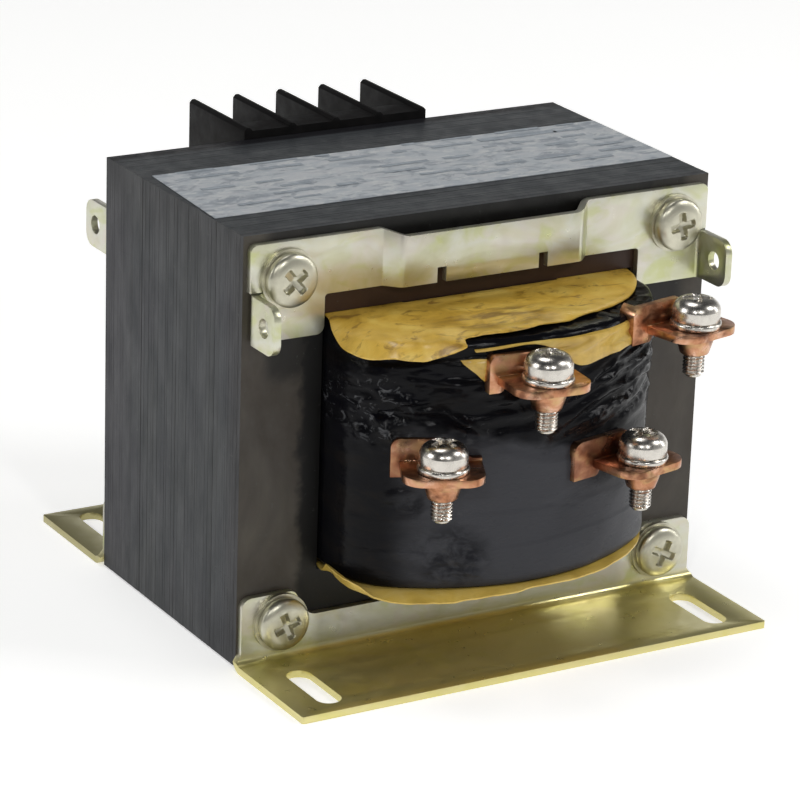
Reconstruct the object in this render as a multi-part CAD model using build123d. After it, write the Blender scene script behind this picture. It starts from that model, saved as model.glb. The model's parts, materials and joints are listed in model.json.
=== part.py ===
from build123d import *
import math
import os

os.makedirs("parts", exist_ok=True)

# ---------------------------------------------------------------------------
# Open core-and-coil control transformer, millimetres, +Z up.
# Origin: middle of the four foot slots, on the underside of the feet.
# -Y is the side with the four copper screw terminals.
# ---------------------------------------------------------------------------

# lamination stack (4.5 x 3.75 in EI lamination, 2.5 in stack)
core_w = 114.3
core_h = 95.25
core_d = 63.5
core_z0 = 0.4            # the stack hangs just clear of the surface
leg = 19.05              # outer legs and yokes; the centre leg is twice this
win_h = 57.15
hole_x = core_w / 2 - leg / 2
hole_dz = leg / 2
core_hole_r = 2.8

# sheet-steel brackets
t = 1.6
bend_in = 1.5
foot_len = 31.0          # foot reach beyond the core face
foot_half = 57.9         # the feet are a little wider than the core
pad_half = 56.7
pad_top = 16.2
pad_in_x = 44.2
mid_top = 10.0
slot_x = 48.4
slot_y = 50.2
slot_l = 18.0
slot_w = 5.6

tb_half = 56.15          # top bracket
tb_top = 93.9
tb_mid_top = 92.4
tb_low = 81.4
tb_pad_low = 72.8
tb_pad_in = 38.7
jog_half = 22.8
jog = 3.0
notch_x = 12.5
notch_w = 2.2
notch_h = 3.3
ear_top = 83.4
ear_len = 10.5
ear_hole_r = 2.1

# coil, built up round the centre leg
gap = 0.3
tube_t = 1.2
prim_t = 7.7
inter_t = 0.7
sec_t = 7.2
wrap_t = 1.25
coil_hx = 37.6           # half width of the finished coil in the windows
front_a = 59.5           # the front bows out to here between the windows
front_r = 52.0           # radius of that bow
front_rc = 14.0          # and of its corners
rear_a = 52.3            # the rear is pressed flatter
rear_r = 160.0
rear_rc = 10.0
prim_front = (45.5, 70.0, 7.0)   # apex, bow radius, corner radius
prim_rear = (42.3, 200.0, 6.0)

# corner screws
cs_r = 2.35
cs_head_r = 5.8
cs_head_h = 2.9
cw_r = 6.4
cw_t = 1.0
lw_t = 1.2
nut_t = 3.3
nut_af = 9.525

# front terminals: name -> (x, y, z of the tab's top, turn about Z, reach of the
# strap to the left, height of the strap above the tab)
tab_w = 17.2
tab_rc = 4.5
tab_front = 5.8
tab_back = 7.4
strap_t = 1.6
strap_drop = 4.2
collar_r = 4.4
collar_tip_r = 3.1
collar_h = 4.2
ts_r = 2.35
ts_bore_r = 2.42
ts_head_r = 5.15
ts_head_h = 5.3
ts_len = 12.5
cl_r = 5.5
cl_t = 1.5
front_terms = {
    1: (-25.6, -61.3, 49.85, -25.4, 10.4, 4.8),
    2: (-4.7, -66.9, 68.1, -4.5, 10.4, 4.6),
    3: (21.9, -63.75, 45.6, 12.0, 14.2, 4.8),
    4: (35.5, -60.95, 72.6, 12.0, 12.8, 4.6),
}

# rear barrier strip
pitch = 11.11
fin_t = 2.0
fin_edge = 0.65           # the barriers narrow to a thin top edge
bl_front = 32.15
bl_body = 36.7
bl_back = 58.8
bl_bot = 76.7
bl_floor = 84.0
bl_top = 98.15
bl_wall_top = 97.4
rp_t = 0.8
rs_r = 1.72
rs_bore_r = 1.79
rs_head_r = 3.45
rs_head_h = 2.2
rs_len = 6.2
rc_w = 8.0
rc_t = 1.0
rs_y = 48.6
tail_y = 54.6
rear_x = [-1.5 * pitch, -0.5 * pitch, 0.5 * pitch, 1.5 * pitch]

hw, hd = core_w / 2, core_d / 2
win_lo = core_z0 + leg
win_hi = win_lo + win_h
scr_zlo = core_z0 + hole_dz
scr_zhi = core_z0 + core_h - hole_dz


def bx(x0, x1, y0, y1, z0, z1):
    return Pos((x0 + x1) / 2, (y0 + y1) / 2, (z0 + z1) / 2) * Box(
        abs(x1 - x0), abs(y1 - y0), abs(z1 - z0))


def cyl_z(x, y, z0, z1, r):
    return Pos(x, y, (z0 + z1) / 2) * Cylinder(r, abs(z1 - z0))


def cyl_y(x, z, y0, y1, r):
    return Pos(x, (y0 + y1) / 2, z) * Rot(90, 0, 0) * Cylinder(r, abs(y1 - y0))


def xz_prism(pts, y0, y1, fillets=()):
    """Closed outline in X and Z, pushed through from y0 to y1 (y0 < y1)."""
    sk = Polygon(*pts, align=None)
    for (px, pz), r in fillets:
        v = sk.vertices().sort_by_distance(Vector(px, pz, 0))[0]
        sk = fillet(v, r)
    # sketch XY -> world XZ with the prism growing along -Y
    solid = extrude(Plane.XZ * sk, y1 - y0, dir=(0, -1, 0))
    return Pos(0, y1, 0) * solid


def rrect(hx, hy, r):
    return RectangleRounded(2 * hx, 2 * hy, r)


def ring(hx_o, hy_o, r_o, hx_i, hy_i, r_i, z0, z1):
    return extrude(Pos(0, 0, z0) * (rrect(hx_o, hy_o, r_o) - rrect(hx_i, hy_i, r_i)), z1 - z0)


def bowed(hx, front, rear, d=0.0):
    """Plan of a coil layer: straight sides, each end a wide bow between two
    corner arcs. front and rear are (apex, bow radius, corner radius), and d
    grows the whole outline evenly."""
    hx += d
    half = []
    for (a, r, rc) in (front, rear):
        a, r, rc = a + d, r + d, rc + d
        yc = a - r
        yk = yc + math.sqrt((r - rc) ** 2 - (hx - rc) ** 2)
        k = r / (r - rc)
        tx, ty = (hx - rc) * k, yc + (yk - yc) * k
        # middle of the corner arc
        ang = math.atan2(ty - yk, tx - (hx - rc)) / 2
        mx, my = hx - rc + rc * math.cos(ang), yk + rc * math.sin(ang)
        half.append((a, yk, tx, ty, mx, my))
    (fa, fk, ftx, fty, fmx, fmy), (ra, rk, rtx, rty, rmx, rmy) = half
    e = [Line((-hx, rk), (-hx, -fk)),
         ThreePointArc((-hx, -fk), (-fmx, -fmy), (-ftx, -fty)),
         ThreePointArc((-ftx, -fty), (0, -fa), (ftx, -fty)),
         ThreePointArc((ftx, -fty), (fmx, -fmy), (hx, -fk)),
         Line((hx, -fk), (hx, rk)),
         ThreePointArc((hx, rk), (rmx, rmy), (rtx, rty)),
         ThreePointArc((rtx, rty), (0, ra), (-rtx, rty)),
         ThreePointArc((-rtx, rty), (-rmx, rmy), (-hx, rk))]
    return make_face(e)


def layer(outer, inner, z0, z1):
    return extrude(Pos(0, 0, z0) * (outer - inner), z1 - z0, dir=(0, 0, 1))


def cross(r_len, w, depth):
    """Cross recess, its mouth at z = 0, cut downwards."""
    a = Box(r_len * 2, w, depth) + Box(w, r_len * 2, depth)
    return Pos(0, 0, -depth / 2) * a


def one(s):
    s = s.solids()
    return s[0] if len(s) == 1 else Compound(children=list(s))


def save(name, s):
    shp = one(s)
    shp.label = name
    export_step(shp, f"parts/{name}.step")


# ------------------------------------------------------------------ the core
core = bx(-hw, hw, -hd, hd, core_z0, core_z0 + core_h)
for s in (-1, 1):
    core -= bx(s * leg, s * 2 * leg, -hd - 1, hd + 1, win_lo, win_hi)
    for z in (scr_zlo, scr_zhi):
        core -= cyl_y(s * hole_x, z, -hd - 1, hd + 1, core_hole_r)
save("core_stack", core)

# ------------------------------------------------------------------ the coil
leg_hx, leg_hy = leg, hd
o = gap
tube = ring(leg_hx + o + tube_t, leg_hy + o + tube_t, 2.0, leg_hx + o, leg_hy + o, 0.8,
            win_lo + 0.9, win_hi - 0.9)
save("winding_tube", tube)
o += tube_t + 0.05
prim_hx = leg_hx + o + prim_t
prim = layer(bowed(prim_hx, prim_front, prim_rear), rrect(leg_hx + o, leg_hy + o, 2.05),
             win_lo + 3.0, win_hi - 3.0)
save("primary_winding", prim)
inter = layer(bowed(prim_hx, prim_front, prim_rear, 0.05 + inter_t), bowed(prim_hx, prim_front, prim_rear, 0.05),
              win_lo + 1.6, win_hi - 1.6)
save("interwinding_insulation", inter)
wrap_front = (front_a, front_r, front_rc)
wrap_rear = (rear_a, rear_r, rear_rc)
sec = layer(bowed(coil_hx, wrap_front, wrap_rear, -wrap_t - 0.05), bowed(prim_hx, prim_front, prim_rear, 0.1 + inter_t),
            win_lo + 3.0, win_hi - 3.0)
save("secondary_winding", sec)
wrap_lo, wrap_hi = win_lo + 0.9, win_hi - 1.2
wrap = layer(bowed(coil_hx, wrap_front, wrap_rear), bowed(coil_hx, wrap_front, wrap_rear, -wrap_t), wrap_lo, wrap_hi)
coil_inside = extrude(Pos(0, 0, wrap_lo - 5) * bowed(coil_hx, wrap_front, wrap_rear, -wrap_t + 0.05), wrap_hi - wrap_lo + 10,
                      dir=(0, 0, 1))

# ------------------------------------------------------- front copper straps
for n, (x, y, z, turn, left, up) in front_terms.items():
    place = Pos(x, y, z) * Rot(0, 0, turn)
    # built about the screw: the tab lies level in front, its leg stands up behind it
    yf = tab_back - strap_t
    prof = Polygon((-tab_front, -strap_t), (-tab_front, 0), (yf, 0), (yf, up), (tab_back, up), (tab_back, -strap_t),
                   align=None)
    for (py, pz), r in (((yf, 0), 0.2), ((tab_back, -strap_t), 2.1)):
        v = prof.vertices().sort_by_distance(Vector(py, pz, 0))[0]
        prof = fillet(v, r)
    tab = Pos(-tab_w / 2, 0, 0) * extrude(Plane.YZ * prof, tab_w, dir=(1, 0, 0))
    tab = tab & (Pos(0, 12 - tab_front, -20) * extrude(rrect(tab_w / 2, 12, tab_rc), 40))
    # the strap stands up on the left only and runs on to where it turns back into the coil
    lw = tab_w / 2
    upright = [(-left, -strap_drop + 0.6), (-lw + 1.2, -strap_drop + 0.6), (-lw + 3.0, -0.4), (lw - 0.2, -0.4),
               (lw - 3.2, 1.4), (1.0, up), (-left, up)]
    ofl = [((-left, up), 2.0), ((1.0, up), 2.5), ((lw - 3.2, 1.4), 1.5), ((-lw + 1.2, -strap_drop + 0.6), 1.2)]
    tab = tab & (bx(-20, 20, -20, yf - 0.72, -20, 20) + bx(-20, 20, yf - 2, tab_back + 1, -20, 0.7)
                 + xz_prism(upright, yf - 0.75, tab_back + 1, ofl))
    back = xz_prism(upright, yf, tab_back, ofl)
    tail = bx(-left, -left + strap_t, yf, tab_back + 4.0, -strap_drop + 0.6, up)
    tail = tail & xz_prism(upright, yf - 1, tab_back + 5.0, ofl)
    bt = back + tail
    s = tab + bt
    # drawn collar under the tab, tapered, with the screw's bore
    s += Pos(0, 0, -strap_t - collar_h / 2) * Rot(180, 0, 0) * Cone(collar_r, collar_tip_r, collar_h)
    s -= cyl_z(0, 0, -12, 2, ts_bore_r)
    s = (place * s) - coil_inside
    save(f"terminal_strap_{n}", s)
    # slit in the tape where the strap's tail goes in
    wrap -= place * bx(-left - 0.15, -left + strap_t + 0.15, tab_back - 3.0, tab_back + 6.0, -strap_drop + 0.45, up + 0.15)

    # cup washer, and the screw
    cl = cyl_z(0, 0, 0, cl_t, cl_r)
    cl = fillet(cl.edges().filter_by(GeomType.CIRCLE).group_by(Axis.Z)[-1], 0.6)
    cl -= cyl_z(0, 0, -1, cl_t + 1, ts_r + 0.35)
    save(f"clamp_washer_{n}", place * cl)
    head = cyl_z(0, 0, cl_t, cl_t + ts_head_h, ts_head_r)
    rim = head.edges().filter_by(GeomType.CIRCLE).group_by(Axis.Z)[-1]
    head = fillet(rim, 2.6)
    shank = cyl_z(0, 0, cl_t - ts_len, cl_t + 0.01, ts_r)
    tip = shank.edges().filter_by(GeomType.CIRCLE).group_by(Axis.Z)[0]
    shank = chamfer(tip, 0.5)
    scr = head + shank
    scr -= Pos(0, 0, cl_t + ts_head_h) * Rot(0, 0, {1: 12, 2: 38, 3: 25, 4: 60}[n]) * cross(3.0, 1.4, 2.2)
    save(f"terminal_screw_{n}", place * scr)

# primary leads come out of the back of the coil
lead_z = 68.0
leads = []
for x in rear_x:
    ri = rear_r - wrap_t
    y0 = rear_a - wrap_t - (ri - math.sqrt(ri * ri - x * x)) + 0.25
    wrap -= cyl_y(x, lead_z, y0 - 1.0, rear_a + 1, 1.3)
    pts = [(x, y0, lead_z), (x, tail_y, lead_z), (x, tail_y, bl_bot - 0.05)]
    path = FilletPolyline(*pts, radius=2.4)
    prof = Plane(origin=pts[0], z_dir=(0, 1, 0)) * Circle(1.15)
    leads.append(sweep(prof, path=path).solids()[0])
save("coil_wrap", wrap)
grp = Compound(children=leads)
grp.label = "rear_leads"
export_step(grp, "parts/rear_leads.step")

# --------------------------------------------------- end insulation collars
ins_t = 0.8
ins_x = 37.5


def collar_plate(z0, d):
    """Flat collar round the centre leg, d beyond the tape in front."""
    out = bowed(ins_x, (front_a + d, front_r + d, front_rc - 0.1), (53.1, 160.0, 10.0))
    return layer(out, Rectangle(2 * leg + 0.8, core_d + 0.8), z0, z0 + ins_t)


# the top one is cut back round the strap of terminal 4, which stands up past it
x, y, z, turn, left, up = front_terms[4]
top_ins = collar_plate(win_hi - 0.05 - ins_t, 1.3)
top_ins -= Pos(x, y, z) * Rot(0, 0, turn) * (bx(-left - 0.6, tab_w / 2 + 0.6, -12, tab_back + 0.5, -8, 12)
                                             + bx(-left - 0.6, -left + strap_t + 0.6, 0, tab_back + 4.3, -8, 12))
save("top_end_insulation", top_ins)
save("bottom_end_insulation", collar_plate(win_lo + 0.05, 1.9))

# ----------------------------------------------------------- foot brackets
lprof = Polygon((-hd, pad_top), (-hd - t, pad_top), (-hd - t, t), (-hd - foot_len, t),
                (-hd - foot_len, 0), (-hd, 0), align=None)
for (py, pz), r in (((-hd - t, t), bend_in), ((-hd, 0), bend_in + t)):
    v = lprof.vertices().sort_by_distance(Vector(py, pz, 0))[0]
    lprof = fillet(v, r)
ell = Pos(-foot_half, 0, 0) * extrude(Plane.YZ * lprof, 2 * foot_half, dir=(1, 0, 0))
outline = [(-foot_half, -1), (foot_half, -1), (foot_half, 2.0), (pad_half, 3.6), (pad_half, pad_top), (pad_in_x, pad_top),
           (40.5, mid_top), (-40.5, mid_top), (-pad_in_x, pad_top), (-pad_half, pad_top), (-pad_half, 3.6),
           (-foot_half, 2.0)]
ofl = [((pad_half, pad_top), 2.4), ((-pad_half, pad_top), 2.4),
       ((pad_in_x, pad_top), 2.0), ((-pad_in_x, pad_top), 2.0),
       ((40.5, mid_top), 3.0), ((-40.5, mid_top), 3.0)]
foot = ell & xz_prism(outline, -hd - foot_len - 1, -hd + 1, ofl)
plan = RectangleRounded(2 * foot_half, 2 * (hd + foot_len), 0.6)
foot = foot & (Pos(0, 0, -1) * extrude(plan, 40))
for s in (-1, 1):
    foot -= Pos(s * slot_x, -slot_y, -1) * extrude(Rot(0, 0, 90) * SlotOverall(slot_l, slot_w), 5)
    foot -= cyl_y(s * hole_x, scr_zlo, -hd - t - 1, -hd + 1, core_hole_r)
save("foot_bracket_front", foot)
save("foot_bracket_rear", Rot(0, 0, 180) * foot)

# ------------------------------------------------------------ top brackets
jx0, jx1 = jog_half + 1.6, jog_half - 1.4
fy, by = -hd - t, -hd
strip_pts = [(-tb_half, by), (-jx0, by), (-jx1, by - jog), (jx1, by - jog), (jx0, by), (tb_half, by),
             (tb_half, fy), (jx0 + 0.7, fy), (jx1 + 0.7, fy - jog), (-jx1 - 0.7, fy - jog),
             (-jx0 - 0.7, fy), (-tb_half, fy)]
sk = Polygon(*strip_pts, align=None)
for (px, py), r in ((((-jx0), by), 1.9), ((-jx1, by - jog), 0.5), ((jx1, by - jog), 0.5), ((jx0, by), 1.9),
                    ((jx0 + 0.7, fy), 0.5), ((jx1 + 0.7, fy - jog), 1.9),
                    ((-jx1 - 0.7, fy - jog), 1.9), ((-jx0 - 0.7, fy), 0.5)):
    v = sk.vertices().sort_by_distance(Vector(px, py, 0))[0]
    sk = fillet(v, r)
strip = Pos(0, 0, tb_pad_low - 1) * extrude(sk, tb_top - tb_pad_low + 2, dir=(0, 0, 1))
out = [(-tb_half, tb_pad_low), (-tb_pad_in, tb_pad_low), (-tb_pad_in, tb_low), (tb_pad_in, tb_low),
       (tb_pad_in, tb_pad_low), (tb_half, tb_pad_low), (tb_half, tb_top), (jx0 + 1.2, tb_top),
       (jx1 - 0.6, tb_mid_top), (-jx1 + 0.6, tb_mid_top), (-jx0 - 1.2, tb_top), (-tb_half, tb_top)]
ofl = [((-tb_pad_in, tb_pad_low), 1.8), ((tb_pad_in, tb_pad_low), 1.8),
       ((-tb_pad_in, tb_low), 0.8), ((tb_pad_in, tb_low), 0.8),
       ((-tb_half, tb_top), 1.6), ((tb_half, tb_top), 1.6),
       ((jx0 + 1.2, tb_top), 1.5), ((-jx0 - 1.2, tb_top), 1.5)]
tb = strip & xz_prism(out, fy - jog - 2, by + 2, ofl)
for s in (-1, 1):
    tb -= bx(s * notch_x - notch_w / 2, s * notch_x + notch_w / 2, fy - jog - 2, by + 1,
             tb_low - 1, tb_low + notch_h)
    # the ear is bent forward out of the pad's lower outer corner
    tb -= bx(s * 51, s * (tb_half + 1), fy - 1, by + 1, tb_pad_low - 1, ear_top + 0.3)
    lp = Polygon((51, by), (tb_half, by), (tb_half, by - t - ear_len), (tb_half - t, by - t - ear_len),
                 (tb_half - t, fy), (51, fy), align=None)
    for (px, py), r in (((tb_half, by), 2.6), ((tb_half - t, fy), 1.0)):
        v = lp.vertices().sort_by_distance(Vector(px, py, 0))[0]
        lp = fillet(v, r)
    ear = Pos(0, 0, tb_pad_low) * extrude(lp, ear_top - tb_pad_low, dir=(0, 0, 1))
    ends = [e for e in ear.edges().filter_by(Axis.X)
            if abs(e.center().Y - (by - t - ear_len)) < 0.01]
    ear = fillet(ends, 3.0)
    ear -= Pos(tb_half, by - t - ear_len + 4.6, (tb_pad_low + ear_top) / 2) * Rot(0, 90, 0) * Cylinder(ear_hole_r, 8)
    if s < 0:
        ear = mirror(ear, about=Plane.YZ)
    tb = tb + ear
    tb -= cyl_y(s * hole_x, scr_zhi, fy - 2, by + 1, core_hole_r)
save("top_bracket_front", tb)
save("top_bracket_rear", Rot(0, 0, 180) * tb)

# ------------------------------------------------ corner screws and their nuts
scr, wsh, lck, nuts = [], [], [], []
for sx, z, turned in ((-1, scr_zlo, 20), (-1, scr_zhi, 40), (1, scr_zlo, 65), (1, scr_zhi, 10)):
    # built standing on +Z, then laid along Y with the head to the front
    L = cw_t + t + core_d + t + lw_t + nut_t + 2.2
    head = fillet(Cylinder(cs_head_r, cs_head_h).edges().filter_by(GeomType.CIRCLE).group_by(Axis.Z)[-1], 1.9)
    head = Pos(0, 0, cs_head_h / 2) * head
    head -= Pos(0, 0, cs_head_h) * Rot(0, 0, turned) * cross(3.0, 1.4, 1.8)
    shank = Pos(0, 0, -L / 2 + 0.01) * Cylinder(cs_r, L)
    shank = chamfer(shank.edges().filter_by(GeomType.CIRCLE).group_by(Axis.Z)[0], 0.5)
    s = head + shank
    loc = Pos(sx * hole_x, fy - cw_t, z) * Rot(90, 0, 0)
    scr.append((loc * s).solids()[0])
    wsh.append(((cyl_y(sx * hole_x, z, fy - cw_t, fy, cw_r)
                 - cyl_y(sx * hole_x, z, fy - cw_t - 1, fy + 1, cs_r + 0.3))).solids()[0])
    yb = -fy
    lw = (cyl_y(sx * hole_x, z, yb, yb + lw_t, 4.6) - cyl_y(sx * hole_x, z, yb - 1, yb + lw_t + 1, cs_r + 0.15))
    lw -= bx(sx * hole_x - 0.35, sx * hole_x + 0.35, yb - 1, yb + lw_t + 1, z, z + 8)
    lck.append(lw.solids()[0])
    nu = extrude(RegularPolygon(nut_af / 2, 6, major_radius=False), nut_t)
    cone = Pos(0, 0, nut_t / 2) * Cylinder(nut_af / 2 * 1.12, nut_t)
    cone = chamfer(cone.edges().filter_by(GeomType.CIRCLE), 0.45)
    nu = nu & cone
    nu -= Cylinder(cs_r + 0.05, 40)
    nu = Pos(sx * hole_x, yb + lw_t, z) * Rot(-90, 0, 0) * nu
    nuts.append(nu.solids()[0])
for name, lst in (("core_screws", scr), ("core_washers", wsh), ("core_lock_washers", lck), ("core_nuts", nuts)):
    c = Compound(children=lst)
    c.label = name
    export_step(c, f"parts/{name}.step")

# ------------------------------------------------------- rear barrier strip
hb = 2 * pitch + fin_t / 2
blk = bx(-hb, hb, bl_body, bl_back, bl_bot, bl_floor)
blk += bx(-hb, hb, bl_body, bl_body + 2.2, bl_floor - 0.5, bl_wall_top)
blk += bx(-hb, hb, bl_front, bl_body + 0.5, tb_top + 0.35, bl_wall_top)
blk += bx(-20, 20, bl_front, bl_front + 2.3, 83.0, tb_top + 0.5)
for i in range(5):
    x = (i - 2) * pitch
    fin = bx(x - fin_t / 2, x + fin_t / 2, bl_front, bl_back, bl_floor - 0.5, bl_top)
    fin = chamfer(fin.edges().filter_by(Axis.Y).group_by(Axis.Z)[-1], fin_edge)
    fin -= bx(x - fin_t, x + fin_t, bl_front - 1, bl_body, bl_floor - 1, tb_top + 0.35)
    blk += fin
for x in rear_x:
    blk -= cyl_z(x, rs_y, bl_floor - 5.2, bl_floor + 1, rs_bore_r)
    blk -= bx(x - 1.7, x + 1.7, tail_y - 0.65, tail_y + 0.65, bl_bot - 1, bl_floor + 1)
save("rear_terminal_block", blk)

plates = []
for i, x in enumerate(rear_x):
    p = bx(x - 4.3, x + 4.3, 41.0, 57.2, bl_floor, bl_floor + rp_t)
    p += bx(x - 1.5, x + 1.5, tail_y - 0.5, tail_y + 0.5, bl_bot, bl_floor + 0.1)
    p -= cyl_z(x, rs_y, bl_floor - 1, bl_floor + 3, rs_r + 0.35)
    plates.append(p.solids()[0])
    zc = bl_floor + rp_t
    cl = extrude(Pos(x, rs_y, zc) * RectangleRounded(rc_w, rc_w, 0.8), rc_t)
    cl -= cyl_z(x, rs_y, zc - 1, zc + 3, rs_r + 0.35)
    save(f"rear_clamp_{i + 1}", cl)
    zh = zc + rc_t
    head = cyl_z(x, rs_y, zh, zh + rs_head_h, rs_head_r)
    head = fillet(head.edges().filter_by(GeomType.CIRCLE).group_by(Axis.Z)[-1], 1.0)
    shank = cyl_z(x, rs_y, zh - rs_len, zh + 0.01, rs_r)
    shank = chamfer(shank.edges().filter_by(GeomType.CIRCLE).group_by(Axis.Z)[0], 0.4)
    s = head + shank
    s -= Pos(x, rs_y, zh + rs_head_h) * cross(2.0, 1.0, 1.3)
    save(f"rear_screw_{i + 1}", s)
c = Compound(children=plates)
c.label = "rear_terminal_plates"
export_step(c, "parts/rear_terminal_plates.step")

# ---------------------------------------------------------------- nameplate
np_t = 0.2
save("nameplate", bx(-hw + 0.2, hw - 0.2, -16.5, 18.5, core_z0 + core_h, core_z0 + core_h + np_t))
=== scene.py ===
import json
import math
import bpy
import numpy as np
from mathutils import Matrix, Vector


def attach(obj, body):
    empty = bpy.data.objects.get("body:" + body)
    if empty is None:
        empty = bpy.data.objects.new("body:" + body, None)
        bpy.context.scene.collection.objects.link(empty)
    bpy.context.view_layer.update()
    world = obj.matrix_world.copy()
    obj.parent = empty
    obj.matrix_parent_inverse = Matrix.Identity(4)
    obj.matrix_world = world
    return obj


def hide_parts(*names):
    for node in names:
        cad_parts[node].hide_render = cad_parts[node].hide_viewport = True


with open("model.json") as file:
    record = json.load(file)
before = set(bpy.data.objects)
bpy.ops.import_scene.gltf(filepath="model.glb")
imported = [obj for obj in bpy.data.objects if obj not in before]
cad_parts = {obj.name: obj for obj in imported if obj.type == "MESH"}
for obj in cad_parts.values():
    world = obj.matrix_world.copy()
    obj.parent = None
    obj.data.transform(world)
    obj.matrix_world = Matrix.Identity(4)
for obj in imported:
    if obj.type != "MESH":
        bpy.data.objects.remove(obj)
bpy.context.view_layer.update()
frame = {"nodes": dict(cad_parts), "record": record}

nodes = frame["nodes"]
MM = 0.001
rng = np.random.default_rng(20261130)

# --------------------------------------------------------------------------
# camera
# --------------------------------------------------------------------------
az, el, roll = math.radians(-30.728), math.radians(19.663), math.radians(1.968)
back = Vector((math.sin(az) * math.cos(el), -math.cos(az) * math.cos(el), math.sin(el)))
right = Vector((0, 0, 1)).cross(back).normalized()
upv = back.cross(right)
r2 = right * math.cos(roll) + upv * math.sin(roll)
u2 = -right * math.sin(roll) + upv * math.cos(roll)
cam_data = bpy.data.cameras.new("camera")
cam = bpy.data.objects.new("camera", cam_data)
bpy.context.scene.collection.objects.link(cam)
loc = (back * 850.936 + r2 * 1.309 + u2 * 39.014) * MM
m = Matrix((r2, u2, back)).transposed().to_4x4()
m.translation = loc
cam.matrix_world = m
cam_data.sensor_width = 36.0
cam_data.sensor_fit = "HORIZONTAL"
cam_data.lens = 3772.01 / 800 * 36.0
cam_data.clip_start = 0.05
cam_data.clip_end = 20
bpy.context.scene.camera = cam


# --------------------------------------------------------------------------
# mesh helpers; coordinates in millimetres
# --------------------------------------------------------------------------
def link(name, verts, faces, body, replaces=(), smooth=None):
    """verts (N,3) in mm, faces lists of indices. smooth: None, True or an angle in degrees."""
    me = bpy.data.meshes.new(name)
    me.from_pydata((np.asarray(verts, float) * MM).tolist(), [], [list(map(int, f)) for f in faces])
    me.update()
    ob = bpy.data.objects.new(name, me)
    bpy.context.scene.collection.objects.link(ob)
    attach(ob, body)
    if replaces:
        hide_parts(*replaces)
    if smooth is True:
        me.shade_smooth()
    elif smooth:
        shade_angle(me, smooth)
    return ob


def shade_angle(me, degrees):
    me.shade_smooth()
    me.set_sharp_from_angle(angle=math.radians(degrees))


def join_parts(parts):
    """[(verts, faces), ...] -> one (verts, faces)."""
    vs, fs, n = [], [], 0
    for v, f in parts:
        v = np.asarray(v, float)
        vs.append(v)
        fs.extend([[i + n for i in q] for q in f])
        n += len(v)
    return np.vstack(vs), fs


def extrude2d(pts, tris, lo, hi):
    """Flat mesh (pts in two axes, faces counter-clockwise) given thickness: lo and hi are the third
    coordinate of the two sides. Returns (a, b, c) vertices with the third axis last."""
    pts = np.asarray(pts, float)
    n = len(pts)
    v = np.vstack([np.column_stack([pts, np.full(n, lo)]), np.column_stack([pts, np.full(n, hi)])])
    f = [[i + n for i in t] for t in tris] + [list(reversed(t)) for t in tris]
    edges = {}
    for t in tris:
        for a, b in zip(t, list(t[1:]) + [t[0]]):
            edges[(a, b)] = 1
    for (a, b) in edges:
        if (b, a) not in edges:
            f.append([a, b, b + n, a + n])
    return v, f


def lathe(profile, seg=64, axis_pt=(0, 0, 0), closed=False):
    """Profile [(r, z), ...] from the axis outward and round, about Z."""
    prof = [tuple(q) for q in profile]
    v, f, rows = [], [], []
    for r, z in prof:
        if r < 1e-9:
            rows.append([len(v)])
            v.append((0, 0, z))
        else:
            rows.append(list(range(len(v), len(v) + seg)))
            for k in range(seg):
                a = 2 * math.pi * k / seg
                v.append((r * math.cos(a), r * math.sin(a), z))
    pairs = list(zip(rows[:-1], rows[1:]))
    if closed:
        pairs.append((rows[-1], rows[0]))
    for A, B in pairs:
        if len(A) == 1 and len(B) == 1:
            continue
        for k in range(seg):
            k2 = (k + 1) % seg
            if len(A) == 1:
                f.append([A[0], B[k], B[k2]])
            elif len(B) == 1:
                f.append([A[k], B[0], A[k2]])
            else:
                f.append([A[k], B[k], B[k2], A[k2]])
    return np.array(v) + np.array(axis_pt), f


def place(v, loc=(0, 0, 0), rz=0.0, mat=None):
    v = np.asarray(v, float)
    if mat is not None:
        v = v @ np.array(mat).T
    a = math.radians(rz)
    R = np.array([[math.cos(a), -math.sin(a), 0], [math.sin(a), math.cos(a), 0], [0, 0, 1]])
    return v @ R.T + np.array(loc)


def sstep(x, a, b):
    t = np.clip((x - a) / (b - a), 0, 1)
    return t * t * (3 - 2 * t)


# value noise on a fixed lattice, for shaping meshes
_lat = rng.random((64, 64, 64))


def vnoise(x, y, z):
    x, y, z = np.broadcast_arrays(np.asarray(x, float), np.asarray(y, float), np.asarray(z, float))
    xi, yi, zi = np.floor(x).astype(int), np.floor(y).astype(int), np.floor(z).astype(int)
    fx, fy, fz = x - xi, y - yi, z - zi
    fx, fy, fz = (t * t * t * (t * (6 * t - 15) + 10) for t in (fx, fy, fz))
    out = 0
    for dx in (0, 1):
        for dy in (0, 1):
            for dz in (0, 1):
                w = (fx if dx else 1 - fx) * (fy if dy else 1 - fy) * (fz if dz else 1 - fz)
                out = out + w * _lat[(xi + dx) % 64, (yi + dy) % 64, (zi + dz) % 64]
    return out * 2 - 1


def fbm(x, y, z, octaves=4, gain=0.5):
    s, a, k = 0, 1.0, 1.0
    for _ in range(octaves):
        s = s + a * vnoise(np.asarray(x) * k + 17.3 * k, np.asarray(y) * k + 5.1, np.asarray(z) * k + 9.7)
        a *= gain
        k *= 2.03
    return s


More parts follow.
